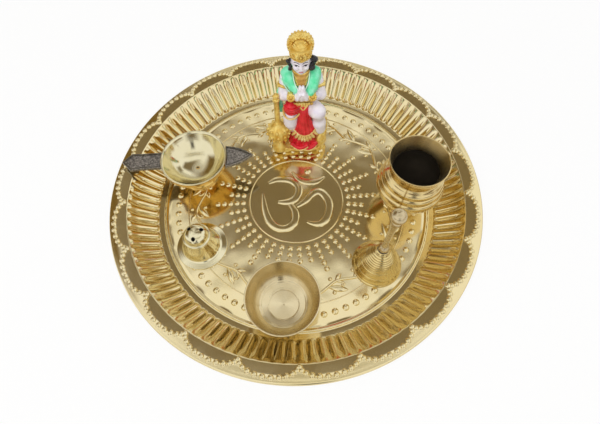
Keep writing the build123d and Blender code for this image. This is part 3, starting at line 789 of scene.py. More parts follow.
def makeIncenseStand():
    bm = standAt(turnedShape(rounded(incense["base"], 6)), places["incense"])
    finishPiece("incenseBase", bm, [paleBrass], "incense_stand", ["incense_base"])
    bm = standAt(turnedShape(rounded(incense["head"], 6)), places["incense"])
    head = finishPiece("incenseHead", bm, [paleBrass, shadeBlack], "incense_stand",
                       ["incense_head"])
    drill = bmesh.new()
    radius, length = incense["holeRadius"] * mm, incense["drillLength"]
    for index in range(incense["holes"]):
        angle = math.radians(incense["holeTurn"] + 360 / incense["holes"] * index)
        x = places["incense"][0] + incense["holeCircle"] * math.cos(angle)
        y = places["incense"][1] + incense["holeCircle"] * math.sin(angle)
        middle = Vector((x, y, incense["holeFloor"] + length / 2)) * mm
        bmesh.ops.create_cone(drill, cap_ends=True, segments=24, radius1=radius, radius2=radius,
                              depth=length * mm, matrix=Matrix.Translation(middle))
    tool = addObject("drill", meshOf("drill", drill))
    # the hole walls take the black that stands for their shade
    tool.data.materials.append(shadeBlack)
    cut = head.modifiers.new("drilled", "BOOLEAN")
    cut.object = tool
    cut.solver = "EXACT"
    cut.material_mode = "TRANSFER"
    drilled = evaluatedMesh(head)
    head.modifiers.clear()
    bpy.data.objects.remove(tool)
    head.data = drilled
    drilled.name = "incenseHead"


bell = {
    "skin": [(19.7, 1.2), (19.7, 2.4, 0.5), (18.6, 3.2, 0.4), (18.6, 4.0, 0.4), (17.0, 6.0, 1.6),
             (16.2, 8.0, 0.5), (16.8, 8.6, 0.4), (16.1, 9.2, 0.4), (14.4, 14.5, 6.0), (12.0, 21.5, 6.0),
             (8.6, 27.8, 6.0), (4.6, 33.0, 1.0), (4.2, 33.2, 0.2), (1.7, 33.2)],
    "wall": 1.6,
    "bands": (9.6, 32.0),  # lowest and highest
    "bandPitch": 2.2,
    "bandDepth": 0.45,
    "bandStep": 0.27,  # spacing of the points that draw them
    "handle": [(0, 33.2), (4.3, 33.2, 0.2), (4.3, 33.7, 0.2), (3.6, 33.9), (3.6, 34.3), (4.3, 35.2, 0.8),
               (4.3, 37.0, 1.5), (2.9, 39.2, 0.8), (2.2, 40.0, 0.6), (2.0, 44.0, 2.0), (2.1, 66.0, 9.0),
               (3.6, 78.6, 4.0), (4.1, 80.6, 1.2), (3.1, 83.0, 0.6)],
    "shadeGap": (33.6, 34.4),  # groove under the handle, painted black as shade
    "ballCentre": 87.2,
    "ballRadius": 5.3,
}


def makeBell():
    skin = rounded(bell["skin"], 6)
    bore, crown = bell["skin"][-1]
    inside = [Vector((max(r - bell["wall"], bore), min(z, crown - bell["wall"]))) for r, z in reversed(skin)]
    outside = banded(evenly(skin, bell["bandStep"]), *bell["bands"], bell["bandPitch"], bell["bandDepth"])
    bm = standAt(turnedShape(outside + inside, ring=True), places["bell"])
    finishPiece("bellBody", bm, [bellBrass], "bell", ["bell_body"])
    knob = arcLine((0, bell["ballCentre"]), bell["ballRadius"], -52, 90, 18)
    bm = turnedShape(rounded(bell["handle"], 6) + knob, steps=48)
    low, high = bell["shadeGap"]
    # the groove's faces are painted black: painted shade
    for face in bm.faces:
        if low < face.calc_center_median().z < high:
            face.material_index = 1
    standAt(bm, places["bell"])
    finishPiece("bellHandle", bm, [wornBrass, shadeBlack], "bell", ["bell_handle"])


lota = {
    "outside": [(0, 1.2), (14.5, 1.2, 0.4), (14.5, 2.6, 0.5), (15.6, 4.0, 1.5), (20.2, 14.0, 9.0),
                (25.2, 24.0, 5.0), (26.2, 29.2)],
    "ridges": 3,
    "ridgeHeight": 6.0,
    "ridgeStep": 1.57,
    "ridgeBulge": 1.1,
    "ridgeLoops": 12,
    "neck": [(21.5, 47.2), (20.6, 48.6, 0.6), (19.4, 50.0, 0.8), (19.7, 55.0, 3.0), (21.9, 61.6, 1.5),
             (22.6, 62.6, 0.4), (22.6, 63.2, 0.3), (21.8, 63.2, 0.3)],
    "inside": [(21.2, 61.6, 1.2), (18.2, 53.5, 3.0), (17.6, 50.5, 0.6), (20.2, 46.8, 1.5), (23.4, 36.0, 5.0),
               (23.9, 28.0, 5.0), (18.6, 13.0, 9.0), (13.1, 3.2, 2.0), (0, 2.8)],
    # height below which the inside is painted black as shade
    "shadeLine": 50.6,
    "shadeFloor": (14.0, 2.5),  # radius and lowest height of the bottom, painted dark as shade
    "neckTop": 62.8,
}


def makeLota():
    line = rounded(lota["outside"], 8)
    radius, height = lota["outside"][-1]
    for index in range(lota["ridges"]):
        low = Vector((radius - index * lota["ridgeStep"], height + index * lota["ridgeHeight"]))
        high = low + Vector((-lota["ridgeStep"], lota["ridgeHeight"]))
        for k in range(1, lota["ridgeLoops"] + 1):
            t = k / lota["ridgeLoops"]
            point = low.lerp(high, t)
            line.append(Vector((point.x + lota["ridgeBulge"] * (1 - abs(2 * t - 1) ** 3), point.y)))
    outer = rounded(lota["neck"] + lota["inside"], 6)
    bm = turnedShape(line + outer[1:], steps=128)
    # the inside below the throat and the inner bottom are painted black: painted shade inside the pot
    floorRadius, floorLow = lota["shadeFloor"]
    for face in bm.faces:
        middle = face.calc_center_median()
        inward = face.normal.x * middle.x + face.normal.y * middle.y < -0.05
        bottom = middle.z > floorLow and face.normal.z > 0.9 and math.hypot(middle.x, middle.y) < floorRadius
        if middle.z < lota["shadeLine"] and (inward or bottom):
            face.material_index = 1
        elif inward and middle.z < lota["neckTop"]:
            face.material_index = 2
    standAt(bm, places["lota"])
    finishPiece("lotaPot", bm, [spunBrass, shadeBlack, dullBrass], "lota",
                ["lota_body", "lota_neck"])


bowl = {
    "line": [(0, 1.2), (16.0, 1.2, 0.5), (18.6, 2.2, 1.0), (24.0, 8.0, 6.0), (26.9, 16.0, 6.0),
             (27.7, 24.2, 0.4), (26.6, 24.2, 0.4), (25.8, 16.2, 6.0), (22.6, 8.6, 5.0), (18.2, 4.9, 1.0),
             (17.3, 4.7, 0.3), (16.6, 4.2, 0.4), (12.0, 3.6, 1.5), (11.3, 3.2, 0.3), (10.9, 3.3, 0.3),
             (0.8, 3.2, 0.2), (0, 2.9)],
    "lineStep": 0.7,
}


def makeBowl():
    line = evenly(rounded(bowl["line"], 8), bowl["lineStep"])
    bm = standAt(turnedShape(line, steps=128), places["bowl"])
    finishPiece("offeringBowl", bm, [satinBrass], "bowl", ["offering_bowl"])


# the bell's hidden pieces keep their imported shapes
hidden = {"clapper_wire": ironWire, "clapper_ball": polishedBrass, "bell_eye_nut": polishedBrass}
for node, finish in hidden.items():
    bpy.data.objects[node].material_slots[0].material = finish

makeLamp()
makeIncenseStand()
makeBell()
makeLota()
makeBowl()
print("items turned")


# Figure: one painted casting, half kneeling with folded hands. Places are from the middle of its foot, in mm

figure = {
    "voxel": 0.55,
    "fineVoxel": 0.34,
    "base": (46.0, 36.0, 5.0),
    "baseShift": -2.0,
    "bodyAxis": (1.0, 2.0),
    "head": (0.8, 0.5, 90.0),
    "crown": [(0, 5.2), (6.9, 5.2, 0.4), (7.7, 5.4, 0.5), (7.5, 6.4, 0.3), (7.6, 7.0, 0.3), (8.0, 12.2, 0.8),
              (8.3, 12.8, 0.4), (7.9, 13.4, 0.5), (5.6, 13.6, 0.6), (5.3, 14.8, 1.4), (3.4, 16.8, 1.5),
              (0, 17.4)],
    "halo": [(0, -1.6), (5.6, -1.6, 0.4), (6.6, -2.4, 0.8), (8.8, -2.4, 1.0), (10.1, -0.4, 1.0),
             (9.9, 0.8, 0.8), (8.8, 2.4, 1.0), (6.6, 2.6, 0.8), (5.6, 1.6, 0.4), (0, 1.4)],
    "mace": [(0, 0), (4.6, 0, 0.8), (6.2, 2.0, 1.5), (6.4, 6.0, 2.0), (4.8, 10.0, 1.5), (3.4, 12.4, 0.6),
             (5.6, 14.6, 1.0), (9.0, 18.4, 3.0), (9.8, 22.4, 4.0), (9.0, 26.8, 3.0), (6.0, 30.6, 1.5),
             (3.6, 32.0, 0.6), (3.6, 33.4, 0.4), (2.4, 34.2, 0.4), (2.3, 44, 1), (2.3, 55.6),
             (3.0, 56.2, 0.4), (3.0, 57.4, 0.4), (2.2, 58.2, 0.4)],
    "maceHead": (13, 32),  # heights between which it is ribbed
    "maceFoot": (-20.0, -15.0, 0.4),
    "maceTop": (-19.6, -5.0, 63.0),
}


def ball(bm, centre, radii, turn=(0, 0, 0), segments=24):
    shape = Euler([math.radians(a) for a in turn]).to_matrix().to_4x4() @ Matrix.Diagonal((*radii, 1))
    bmesh.ops.create_uvsphere(bm, u_segments=segments, v_segments=segments * 2 // 3, radius=1,
                              matrix=Matrix.Translation(centre) @ shape)


def beads(bm, place, count, radius, size, height=0.0, segments=10):
    # ring of small balls round the axis of a place
    for k in range(count):
        spot = place @ Vector(onCircle(radius, 360 * k / count, height))
        ball(bm, spot, (size, size, size), segments=segments)


def limb(bm, *chain):
    # balls joined by cones; each point is (x, y, z, radius)
    for x, y, z, radius in chain:
        ball(bm, (x, y, z), (radius, radius, radius))
    for start, end in zip(chain, chain[1:]):
        low, high = Vector(start[:3]), Vector(end[:3])
        place = Matrix.Translation((low + high) / 2) @ facing(high - low)
        bmesh.ops.create_cone(bm, cap_ends=True, segments=24, radius1=start[3], radius2=end[3],
                              depth=(high - low).length, matrix=place)


def loft(bm, sections, pleats=0, steps=96):
    # sections are (x, y, z, half width, half depth, pleat depth)
    rings = []
    for x, y, z, wide, deep, fold in sections:
        ring = bmesh.ops.create_circle(bm, segments=steps, radius=1)["verts"]
        for vert in ring:
            vert.co *= 1 + fold * math.cos(pleats * math.atan2(vert.co.y, vert.co.x))
        place = Matrix.Translation((x, y, z)) @ Matrix.Diagonal((wide, deep, 1, 1))
        bmesh.ops.transform(bm, verts=ring, matrix=place)
        rings.append(list(dict.fromkeys(edge for vert in ring for edge in vert.link_edges)))
    for low, high in zip(rings, rings[1:]):
        bmesh.ops.bridge_loops(bm, edges=low + high)
    for ring in (rings[0], rings[-1]):
        bmesh.ops.edgeloop_fill(bm, edges=ring)


def fused(bm, voxel, rounds=4):
    bmesh.ops.recalc_face_normals(bm, faces=bm.faces)
    return bakedMesh(meshOf("clay", bm), [("REMESH", {"mode": "VOXEL", "voxel_size": voxel}),
                                          ("SMOOTH", {"factor": 0.5, "iterations": rounds})])


def cords(lines, radius, closed=False):
    # round ridges along lines of (x, y, z)
    curve = newCurve("cords", 5)
    curve.bevel_depth = radius
    curve.bevel_resolution = 2
    for points in lines:
        addStroke(curve, [(*point, 1) for point in points], closed)
    return bakedMesh(curve)


def band(bm, centre, axis, radius, thick, tall):
    # bangle: a flattened ring square to its axis
    ring = turnedShape(ovalLine(radius, 0, thick, tall, 10), steps=32, ring=True)
    bmesh.ops.transform(ring, matrix=Matrix.Translation(centre) @ facing(axis), verts=ring.verts)
    addMesh(bm, ring)


def ruffled(bm, size, depth):
    # uneven hand-modelled skin
    bm.normal_update()
    shifts = [vert.normal * depth * noise.noise(vert.co / size) for vert in bm.verts]
    for vert, shift in zip(bm.verts, shifts):
        vert.co += shift
    return bm


def painted(name, bm, paint, replaced=()):
    bmesh.ops.recalc_face_normals(bm, faces=bm.faces)
    standAt(bm, (*places["idol"], floorTop))
    finishPiece(name, bm, [paint], "idol", replaced, sharp=60)


def makeBody():
    x, y = figure["bodyAxis"]
    bm = bmesh.new()
    loft(bm, [(x, y, 40, 10.5, 8.4, 0), (x, y, 52, 8.6, 6.8, 0), (x, y, 64, 11.4, 7.8, 0),
              (x, y, 73, 10.8, 6.4, 0), (x, y, 80, 4.6, 4.6, 0)])
    limb(bm, (x, y, 76, 4.6), (0.8, 0.5, 86, 4.3))
    limb(bm, (-11, 3, 72, 5.0), (-14.2, -2.5, 57.5, 4.3), (-5.5, -9.6, 63.6, 3.0))
    limb(bm, (13, 3, 72, 5.0), (17.2, -2.5, 57.5, 4.3), (7.5, -9.6, 63.6, 3.0))
    limb(bm, (-6, -2, 43, 6.6), (-8.6, -9.8, 40, 6.4), (-8.6, -10.2, 34, 6.2), (-7.0, -9.8, 27, 4.6),
         (-5.8, -8.6, 20, 3.0))  # kneeling leg
    limb(bm, (6, 3, 42, 7.4), (14.2, -11, 46.6, 7.0))  # raised knee
    limb(bm, (14.2, -11, 46.2, 6.6), (15.4, -9.4, 38.0, 5.0), (15.6, -10.0, 32, 6.2), (16.2, -9.6, 24, 5.6))
    painted("idolBody", fused(bm, figure["voxel"], 6), whitePaint, ["idol_figure"])

    # folded hands: palms, four fingers and a thumb each, wrists
    bm = bmesh.new()
    for side in (-1, 1):
        ball(bm, (x + side * 2.9, -11.2, 65.4), (3.1, 3.4, 4.8), (0, side * -16, 0))
        for finger in range(4):
            root = -13.4 + finger * 1.35
            tip = (x + side * 1.2, -11.3 + (root + 11.3) * 0.7, 76.0 - abs(finger - 1.3) * 0.7, 1.0)
            limb(bm, (x + side * 2.9, root, 67.5, 1.5), tip)
        limb(bm, (x + side * 3.4, -13.8, 65, 1.6), (x + side * 1.3, -14.6, 70, 1.2))
        limb(bm, (x + side * 6.4, -9.8, 63.6, 2.8), (x + side * 3.2, -10.8, 64.4, 3.0))
    ball(bm, (x, -11.8, 67.6), (3.6, 3.0, 7.2))
    painted("idolHands", fused(bm, figure["fineVoxel"], 4), whitePaint)


def makeHead():
    x, y, z = figure["head"]
    bm = bmesh.new()
    ball(bm, (x, y, z + 0.5), (7.3, 7.0, 8.3))
    ball(bm, (x, y - 2.2, z - 5.0), (4.9, 4.6, 4.2))  # jaw and chin
    ball(bm, (x, y - 3.6, z - 7.2), (2.4, 2.6, 1.9))
    for side in (-1, 1):
        ball(bm, (x + side * 3.2, y - 4.2, z - 2.2), (2.9, 2.6, 2.7))  # cheeks
        ball(bm, (x + side * 7.2, y + 0.6, z - 0.4), (1.1, 1.7, 2.6))  # ears
    limb(bm, (x, y - 6.5, z + 1.6, 0.8), (x, y - 7.6, z - 1.8, 1.25))  # nose
    face = fused(bm, figure["fineVoxel"], 5)
    surface = BVHTree.FromBMesh(face)
    painted("idolHead", face, whitePaint)

    def onFace(across, up, out=0.0):
        spot = surface.ray_cast((x + across, y - 40, z + up), (0, 1, 0))[0]
        return (spot.x, spot.y - out, spot.z)

    brow = ((1.2, 2.7), (2.4, 3.4), (3.8, 3.4), (5.2, 2.7))
    lid = ((1.3, 0.9), (2.2, 1.5), (3.4, 1.7), (4.8, 1.1))
    mouth = ((-1.7, -4.7), (-0.7, -4.9), (0.7, -4.9), (1.7, -4.7))
    dark = bmesh.new()
    lines = []
    for side in (-1, 1):
        ball(dark, onFace(side * 3.0, 1.0, -0.3), (1.55, 0.5, 0.62), (0, side * 6, 0), 16)  # half closed eyes
        lines += [[onFace(side * a, b, 0.02) for a, b in line] for line in (brow, lid)]
    addMesh(dark, cords(lines, 0.26))
    painted("idolEyes", dark, blackPaint)
    painted("idolLips", cords([[onFace(a, b, 0.1) for a, b in mouth]], 0.42), rosePaint)

    hair = bmesh.new()
    ball(hair, (x, y + 3.0, z + 1.0), (7.3, 5.8, 8.2))
    limb(hair, (x, y + 6, z - 2, 5.2), (x, y + 6.5, z - 10, 4.6))
    for side, size, drop in ((-1, 0.72, 2.6), (1, 1.1, 1.2)):  # locks beside the face
        limb(hair, (x + side * 7.4, y + 0.8, z + 4.0 - drop, 1.7 * size),
             (x + side * (7.4 + 2.6 * size), y - 0.4, z + 3.0 - drop, 2.3 * size),
             (x + side * (7.4 + 2.2 * size), y - 0.8, z + 0.4 - drop, 1.6 * size),
             (x + side * 7.6, y - 1.2, z - 2.4 - drop / 2, 1.8 * size),
             (x + side * 8.2, y - 1.6, z - 4.4 - drop / 2, 2.4 * size))
    painted("idolHair", ruffled(fused(hair, 0.45, 3), 2.2, 0.5), blackPaint)


def makeCrown():
    x, y, z = figure["head"]
    axis = y + 0.4  # the crown sits a little behind the middle of the head
    bm = standAt(turnedShape(rounded(figure["crown"], 5), steps=72), (x, axis, z))
    halo = turnedShape(rounded(figure["halo"], 5), steps=96)
    for vert in halo.verts:
        if vert.co.xy.length > 8.4:
            vert.co.xy *= 1 + 0.012 * math.cos(24 * math.atan2(vert.co.y, vert.co.x))
    haloPlace = Matrix.Translation((x, y + 3.8, z + 11.8)) @ Matrix.Rotation(math.radians(85), 4, "X")
    bmesh.ops.transform(halo, matrix=haloPlace, verts=halo.verts)
    addMesh(bm, halo)
    for count, radius, size in ((22, 8.9, 0.95), (18, 6.8, 0.9)):  # beads of the halo, front and back
        for side in (-2.2, 2.2):
            beads(bm, haloPlace, count, radius, size, side)
    beads(bm, Matrix.Translation((x, axis, z)), 26, 7.9, 0.65, 6.2, 8)  # beads of the band
    lines = []
    for up, reach in ((13.8, 5.6), (15.2, 4.8), (16.4, 3.4)):  # curved ridges on the dome
        lines.append([(x + reach * math.sin(a), axis - reach * math.cos(a), z + up - 1.4 * math.cos(a) + 1.0)
                      for a in [math.radians(d) for d in (-75, -45, -15, 15, 45, 75)]])
    addMesh(bm, cords(lines, 0.6))
    rosette = Vector((x, y - 7.9, z + 9.8))
    for radius, thick in ((3.3, 0.6), (2.0, 0.45)):
        band(bm, rosette, (0, -1, 0.1), radius, thick, 0.8)
    rosette.y -= 0.5
    ball(bm, rosette, (1.1, 0.9, 1.1), segments=12)
    beads(bm, Matrix.Translation(rosette) @ Matrix.Rotation(math.radians(90), 4, "X"), 10, 2.65, 0.55, 0, 8)
    for side in (-1, 1):  # leaf scrolls beside it
        for degrees, size in ((38, 1.9), (66, 1.5)):
            turn = math.radians(degrees)
            lean = Vector((side * math.sin(turn), -math.cos(turn), 0.1))
            band(bm, Vector((x, axis, z + 9.4)) + lean * 8.0, lean, size, 0.5, 0.6)
    painted("idolCrown", bm, goldPaint)


def makeDress():
    # shawl over the shoulders, with an end that hangs beside the mace
    x = figure["bodyAxis"][0]
    bm = bmesh.new()
    for side in (-1, 1):
        limb(bm, (x, 6.5, 77, 5.4), (x + side * 10.6, 3.0, 76.2, 5.4), (x + side * 9.8, -2.6, 74.4, 4.8))
    limb(bm, (-8.8, -2.6, 74.4, 4.8), (-5.0, -6.8, 70.6, 3.6), (-2.2, -9.2, 67.0, 2.6))
    limb(bm, (10.8, -2.6, 74.4, 4.8), (9.4, -5.8, 70.6, 5.0), (7.6, -8.2, 67.2, 4.2))
    ball(bm, (x, 6.4, 68), (11.4, 4.6, 9.5))
    limb(bm, (-13.0, 4.5, 68, 3.6), (-16.6, 0.5, 58, 2.4), (-16.8, -1.5, 48, 2.2), (-16.4, -2.0, 39.5, 1.7))
    painted("idolShawl", ruffled(fused(bm, figure["voxel"], 5), 4.5, 0.7), greenPaint)
    inner = ((6.4, -1.0, 81.4), (6.2, -6.0, 77.6), (3.8, -9.8, 72.6), (1.2, -11.4, 68.6))
    outer = ((15.8, 0.0, 74.0), (13.0, -5.8, 70.4), (8.4, -9.0, 66.4), (4.6, -10.8, 64.2))
    edges = [[(x + side * a, b, c) for a, b, c in edge] for side in (-1, 1) for edge in (inner, outer)]
    painted("idolShawlEdge", cords(edges, 0.5), paleGreenPaint)

    # dhoti: cloth on the kneeling thigh and the hips, pleated apron between the knees, folds below it
    bm = bmesh.new()
    loft(bm, [(1, 3, 36, 12.6, 10.0, 0), (1, 2.4, 45, 11.6, 9.4, 0), (1, 2, 53, 9.4, 7.6, 0)])
    limb(bm, (-5, 1, 48.4, 6.6), (-7.6, -8.6, 49.0, 6.2))
    for up in (52.4, 49.8, 47.2):  # its folds
        addMesh(bm, cords([[(-13.6, -8, up), (-11.8, -13.0, up + 0.4), (-7.6, -15.0, up + 0.7),
                            (-3.0, -13.2, up + 0.5), (0, -9, up)]], 0.95))
    loft(bm, [(2, -6.6, 53.5, 4.4, 3.4, 0.02), (2.2, -9.4, 46, 5.0, 3.8, 0.05),
              (2.6, -11.2, 36, 6.6, 4.2, 0.08), (3.0, -12.4, 29, 8.8, 4.6, 0.1),
              (3.2, -13.2, 22, 10.8, 4.8, 0.11)], pleats=16)
    loft(bm, [(3, -7.5, 22, 11.0, 8.0, 0.04), (3.2, -8.2, 14, 12.6, 8.4, 0.06),
              (3.4, -8.6, 4.6, 14.2, 8.8, 0.09)], pleats=15)
    folds = [[(-9.0, -15.6, 11.0), (-4.0, -18.6, 7.0), (2.0, -18.8, 7.4), (6.0, -17.4, 10.4)],
             [(1.0, -18.2, 8.4), (6.0, -19.0, 5.6), (12.0, -16.8, 7.4), (16.0, -12.6, 11.0)]]
    addMesh(bm, cords(folds, 2.0))
    painted("idolDhoti", fused(bm, 0.45, 2), redPaint)

    # pleated fringe of the apron, hems and edges
    bm = bmesh.new()
    for k in range(11):
        t = k / 5 - 1
        place = (3.2 + 11.6 * t, -18.4 + 5.4 * t * t, 19.2 + 7.6 * t * t)
        ball(bm, place, (1.45, 1.6, 4.4), (12, -34 * t, 0), 16)
    arc = [(3.2 + 11.6 * t, -18.2 + 5.4 * t * t, 23.2 + 7.4 * t * t)
           for t in (-1, -0.66, -0.33, 0, 0.33, 0.66, 1)]
    addMesh(bm, cords([arc], 0.7))
    addMesh(bm, cords([[(-14.4, -5.5, 46.4), (-14.4, -11, 45.0), (-11.8, -15.6, 44.4), (-7.8, -17.0, 44.4),
                        (-3.4, -15.2, 44.8), (-0.8, -11.2, 45.8)]], 0.85))
    hem = [(3.4 + 14.6 * math.cos(a), -8.6 + 9.1 * math.sin(a), 5.2 + 0.8 * math.cos(15 * a))
           for a in [math.radians(180 + 6 * k) for k in range(31)]]
    foldEdges = [[(a, b - 1.7, c - 1.2) for a, b, c in fold] for fold in folds]
    addMesh(bm, cords([hem] + foldEdges, 0.75))
    painted("idolFringe", bm, paleGoldPaint)


def makeJewels():
    x = figure["bodyAxis"][0]
    bm = bmesh.new()
    for side in (-1, 1):
        wrist = Vector((x + side * 8.6, -9.2, 63.2))
        band(bm, wrist, (side, 0.1, -0.12), 3.6, 0.9, 2.2)
        bloom = wrist + Vector((0, -3.2, 2.2))
        ball(bm, bloom, (1.6, 1.6, 1.6), segments=14)
        beads(bm, Matrix.Translation(bloom) @ facing((side * 0.1, -0.62, 0.78)), 9, 2.5, 1.05)
        arm = Vector((x + side * 13.6, 0.8, 66.4))
        band(bm, arm, (side * 0.22, -0.33, -0.9), 5.0, 0.9, 1.2)
        ball(bm, arm + Vector((side * 4.2, -2.6, 1.4)), (1.2, 1.2, 1.6), segments=12)
    throat = bmesh.new()
    collar = []
    for row in range(3):
        limb(throat, *[(x + (5.2 - 1.0 * row) * math.sin(a), 0.4 - (4.4 + 2.0 * row) * math.cos(a),
                        82.4 - 2.8 * row - 1.6 * math.cos(a), 2.0)
                       for a in [math.radians(d) for d in range(-80, 81, 20)]])
        collar.append([(x + (6.0 - 0.5 * row) * math.sin(a), 0.2 - (5.0 + 2.1 * row) * math.cos(a),
                        83.0 - 2.3 * row - (1.4 + 1.2 * row) * math.cos(a))
                       for a in [math.radians(d) for d in range(-120, 121, 20)]])
    # the throat is painted brown-gold: painted shade under the chin and between the necklace rows
    painted("idolThroat", fused(throat, 0.5, 4), shadeGoldPaint)
    addMesh(bm, cords(collar, 0.95))
    for across, out, up in collar[2][2:-2]:
        ball(bm, (across, out - 0.5, up - 1.4), (0.95, 0.95, 1.3), segments=10)
    ball(bm, (x, -8.6, 74.4), (1.5, 1.0, 1.9), segments=14)
    belt = [[(a, b, up) for a, b in ovalLine(x, 1.6, wide, deep, 16)]
            for wide, deep, up in ((10.4, 9.0, 52.0), (10.0, 8.6, 54.0))]
    addMesh(bm, cords(belt, 1.15, closed=True))
    addMesh(bm, cords([[(-2.4, -8.6, 53.4), (0.4, -10.4, 50.6), (2.0, -11.2, 48.8), (3.6, -10.4, 50.6),
                        (6.4, -8.6, 53.4)]], 0.9))
    for row, count in ((0, 4), (1, 2)):  # clasp of the belt
        for k in range(-count, count + 1):
            bend = 0.12 * k * k
            ball(bm, (x + 2.0 * k, -9.6 + bend, 54.8 - 2.3 * row - bend), (1.35, 1.2, 1.35), segments=12)
    painted("idolJewels", bm, goldPaint)


def makeMaceAndBase():
    # mace: ribbed head low, shaft leaning back to its knob
    knob = arcLine((0, 60.2), 2.7, -48, 90, 10)
    bm = turnedShape(rounded(figure["mace"], 5) + knob, steps=96)
    low, high = figure["maceHead"]
    for vert in bm.verts:
        up = vert.co.z
        if low < up < high:
            rib = abs(math.cos(5 * math.atan2(vert.co.y, vert.co.x))) - 0.6
            vert.co.xy *= 1 + 0.1 * rib * smooth((up - low) / 4) * smooth((high - up) / 4)
    for up, reach in ((17.8, 8.7), (22.6, 9.9), (27.4, 8.7)):
        beads(bm, Matrix.Rotation(math.tau * up / 10, 4, "Z"), 10, reach, 1.4, up)
    foot, top = Vector(figure["maceFoot"]), Vector(figure["maceTop"])
    bmesh.ops.transform(bm, matrix=Matrix.Translation(foot) @ facing(top - foot), verts=bm.verts)
    painted("idolMace", bm, goldPaint)

    # rocky base and seat, and the tail that curls round the shin
    bm = bmesh.new()
    wide, deep, tall = figure["base"]
    slab = Matrix.Translation((figure["baseShift"], 0, tall / 2)) @ Matrix.Diagonal((wide, deep, tall, 1))
    bmesh.ops.create_cube(bm, size=1, matrix=slab)
    uprights = [edge for edge in bm.edges if abs(edge.verts[0].co.z - edge.verts[1].co.z) > 1]
    bmesh.ops.bevel(bm, geom=uprights, offset=9, segments=8, profile=0.5, affect="EDGES", material=-1)
    x, y = figure["bodyAxis"]
    loft(bm, [(x, y + 1, 3, 17.5, 13.5, 0.02), (x, y + 1, 20, 14.6, 11.6, 0.03),
              (x, y + 1, 40, 11.2, 9.2, 0.02)], pleats=7)
    limb(bm, (18.6, -8.0, 6, 4.6), (19.6, -6.0, 14, 4.0), (20.6, -4.0, 22, 2.6), (21.6, -3.0, 28, 1.5))
    ball(bm, (17.2, -9.4, 11.0), (5.4, 7.4, 10.6))
    painted("idolBase", ruffled(fused(bm, 0.6, 3), 3.2, 0.7), goldPaint)


makeBody()
makeHead()
makeCrown()
makeDress()
makeJewels()
makeMaceAndBase()
print("figure painted")


# Camera at the photograph's place

cameraSetting = {"place": (3.2, -165.5, 306.9), "tilt": 26.64, "roll": -1.525, "lens": 24.0, "sensor": 36.0}


def makeCamera():
    data = bpy.data.cameras.new("photoCamera")
    data.lens = cameraSetting["lens"]
    data.sensor_width = cameraSetting["sensor"]
    data.sensor_fit = "HORIZONTAL"
    data.clip_start = 0.01
    camera = addObject("photoCamera", data)
    tilt = Matrix.Rotation(math.radians(cameraSetting["tilt"]), 4, "X")
    roll = Matrix.Rotation(math.radians(cameraSetting["roll"]), 4, "Z")
    camera.matrix_world = Matrix.Translation(Vector(cameraSetting["place"]) * mm) @ tilt @ roll
    bpy.context.scene.camera = camera


# Studio: white surround, pale floor, and soft-edged panels that the mirror brass shows as dark and pale areas

studio = {
    "ambient": 0.75,
    "floorSize": 6.0,
    "paperGlow": 0.9,  # share of the floor that is plain white to the camera
    "panels": [  # bearing from straight back, elevation, distance in metres, width, height, colour, soft edge
        (5.0, 62.0, 3.0, 2.6, 1.5, "#968668", 0.28),
        (180.0, 8.0, 3.0, 3.2, 1.8, "#7E683F", 0.5),
        (175.0, 34.0, 2.4, 0.9, 2.3, "#45413F", 0.5),
        (-55.0, 28.0, 3.0, 4.4, 3.8, "#8F7642", 0.3),
        (78.0, 3.0, 3.0, 5.0, 1.0, "#CDB680", 0.25),
        (133.0, 3.0, 3.0, 2.4, 1.1, "#94794A", 0.3),
        (232.0, 3.0, 3.0, 2.6, 1.1, "#94794A", 0.3),
        (34.0, 35.0, 2.9, 1.5, 1.3, "#A49A80", 0.35),
        (0.0, 27.0, 3.4, 6.5, 2.2, "#EEEADC", 0.4),
        (180.0, 77.0, 2.4, 4.0, 1.4, "#ECE9DE", 0.5),
    ],
    "panelGrid": 24,
    "keyPlace": (-0.5, -1.0, 1.6),
    "keySize": 1.6,
    "keyWatts": 20.0,
}


def makeWorld():
    world = bpy.data.worlds.new("studio")
    bpy.context.scene.world = world
    world.use_nodes = True
    tree = world.node_tree
    tree.nodes.clear()
    path = addNode(tree, "LightPath")
    seen = addNode(tree, "Math", {"operation": "MAXIMUM"},
                   {0: path.outputs["Is Camera Ray"], 1: path.outputs["Is Glossy Ray"]})
    seenThrough = addNode(tree, "Math", {"operation": "MAXIMUM"},
                          {0: seen, 1: path.outputs["Is Transmission Ray"]})
    ambient = addNode(tree, "Background", {"Color": (1, 1, 1, 1), "Strength": studio["ambient"]})
    backdrop = addNode(tree, "Background", {"Color": (1, 1, 1, 1), "Strength": 1.0})
    mixed = addNode(tree, "MixShader", None, {0: seenThrough, 1: ambient, 2: backdrop})
    addNode(tree, "OutputWorld", None, {"Surface": mixed})


# Matt white paper, which stays white to the camera and keeps a soft shadow

def whitePaper():
    material, tree, shader = newMaterial("white paper")
    setNode(tree, shader, {"Base Color": hexColour("#F6F6F4"), "Roughness": 0.9})
    path = addNode(tree, "LightPath")
    glow = addNode(tree, "Emission", {"Color": (1, 1, 1, 1), "Strength": 1.0})
    seen = addNode(tree, "Math", {"operation": "MULTIPLY", 1: studio["paperGlow"]},
                   {0: path.outputs["Is Camera Ray"]})
    mixed = addNode(tree, "MixShader", None, {0: seen, 1: shader, 2: glow})
    setNode(tree, tree.nodes["Material Output"], None, {"Surface": mixed})
    return material


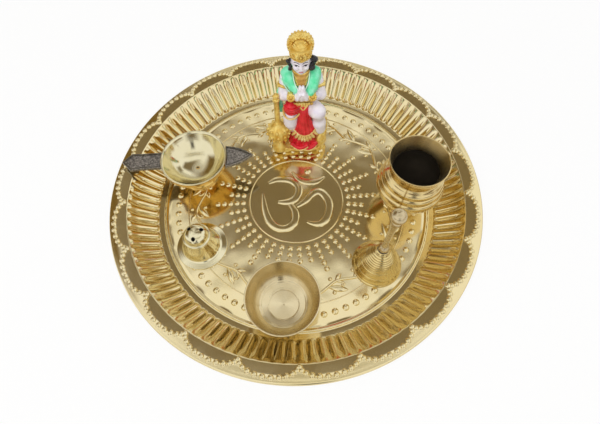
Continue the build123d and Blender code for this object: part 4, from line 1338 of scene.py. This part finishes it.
# Panel cloth: matt, one flat colour, thinning out to nothing at its edges

def panelCloth(colour):
    material, tree, shader = newMaterial("panel cloth")
    setNode(tree, shader, {"Base Color": hexColour(colour), "Roughness": 1.0})
    cover = addNode(tree, "Attribute", {"attribute_name": "cover"})
    clear = addNode(tree, "BsdfTransparent")
    mixed = addNode(tree, "MixShader", None, {0: cover.outputs["Fac"], 1: clear, 2: shader})
    setNode(tree, tree.nodes["Material Output"], None, {"Surface": mixed})
    return material


def makeStudio():
    makeWorld()
    bm = bmesh.new()
    bmesh.ops.create_grid(bm, x_segments=1, y_segments=1, size=studio["floorSize"] / 2)
    paper = addObject("studioFloor", meshOf("studioFloor", bm))
    paper.data.materials.append(whitePaper())

    # panels, which a studio calls flags, square to the plate's view of them
    for bearing, elevation, distance, wide, tall, colour, fade in studio["panels"]:
        bm = bmesh.new()
        bmesh.ops.create_grid(bm, x_segments=studio["panelGrid"], y_segments=studio["panelGrid"], size=0.5)
        cover = bm.verts.layers.float.new("cover")
        for vert in bm.verts:
            vert[cover] = smooth((0.5 - max(abs(vert.co.x), abs(vert.co.y))) / fade)
        bmesh.ops.scale(bm, vec=(wide, tall, 1), verts=bm.verts)
        bmesh.ops.translate(bm, vec=(0, 0, distance), verts=bm.verts)
        swing = Matrix.Rotation(math.radians(-bearing), 4, "Z")
        lean = Matrix.Rotation(math.radians(elevation - 90), 4, "X")
        bmesh.ops.transform(bm, matrix=swing @ lean, verts=bm.verts)
        panel = addObject("studioFlag", meshOf("studioFlag", bm))
        panel.data.materials.append(panelCloth(colour))
        panel.visible_camera = False

    keyLight = bpy.data.lights.new("softKey", "AREA")
    keyLight.shape = "DISK"
    keyLight.size = studio["keySize"]
    keyLight.energy = studio["keyWatts"]
    key = addObject("softKey", keyLight)
    place = Vector(studio["keyPlace"])
    key.matrix_world = Matrix.Translation(place) @ facing(-place, "-Z")
    key.visible_glossy = False


makeCamera()
makeStudio()
bpy.context.scene.view_settings.view_transform = "Standard"
print("camera and studio ready")
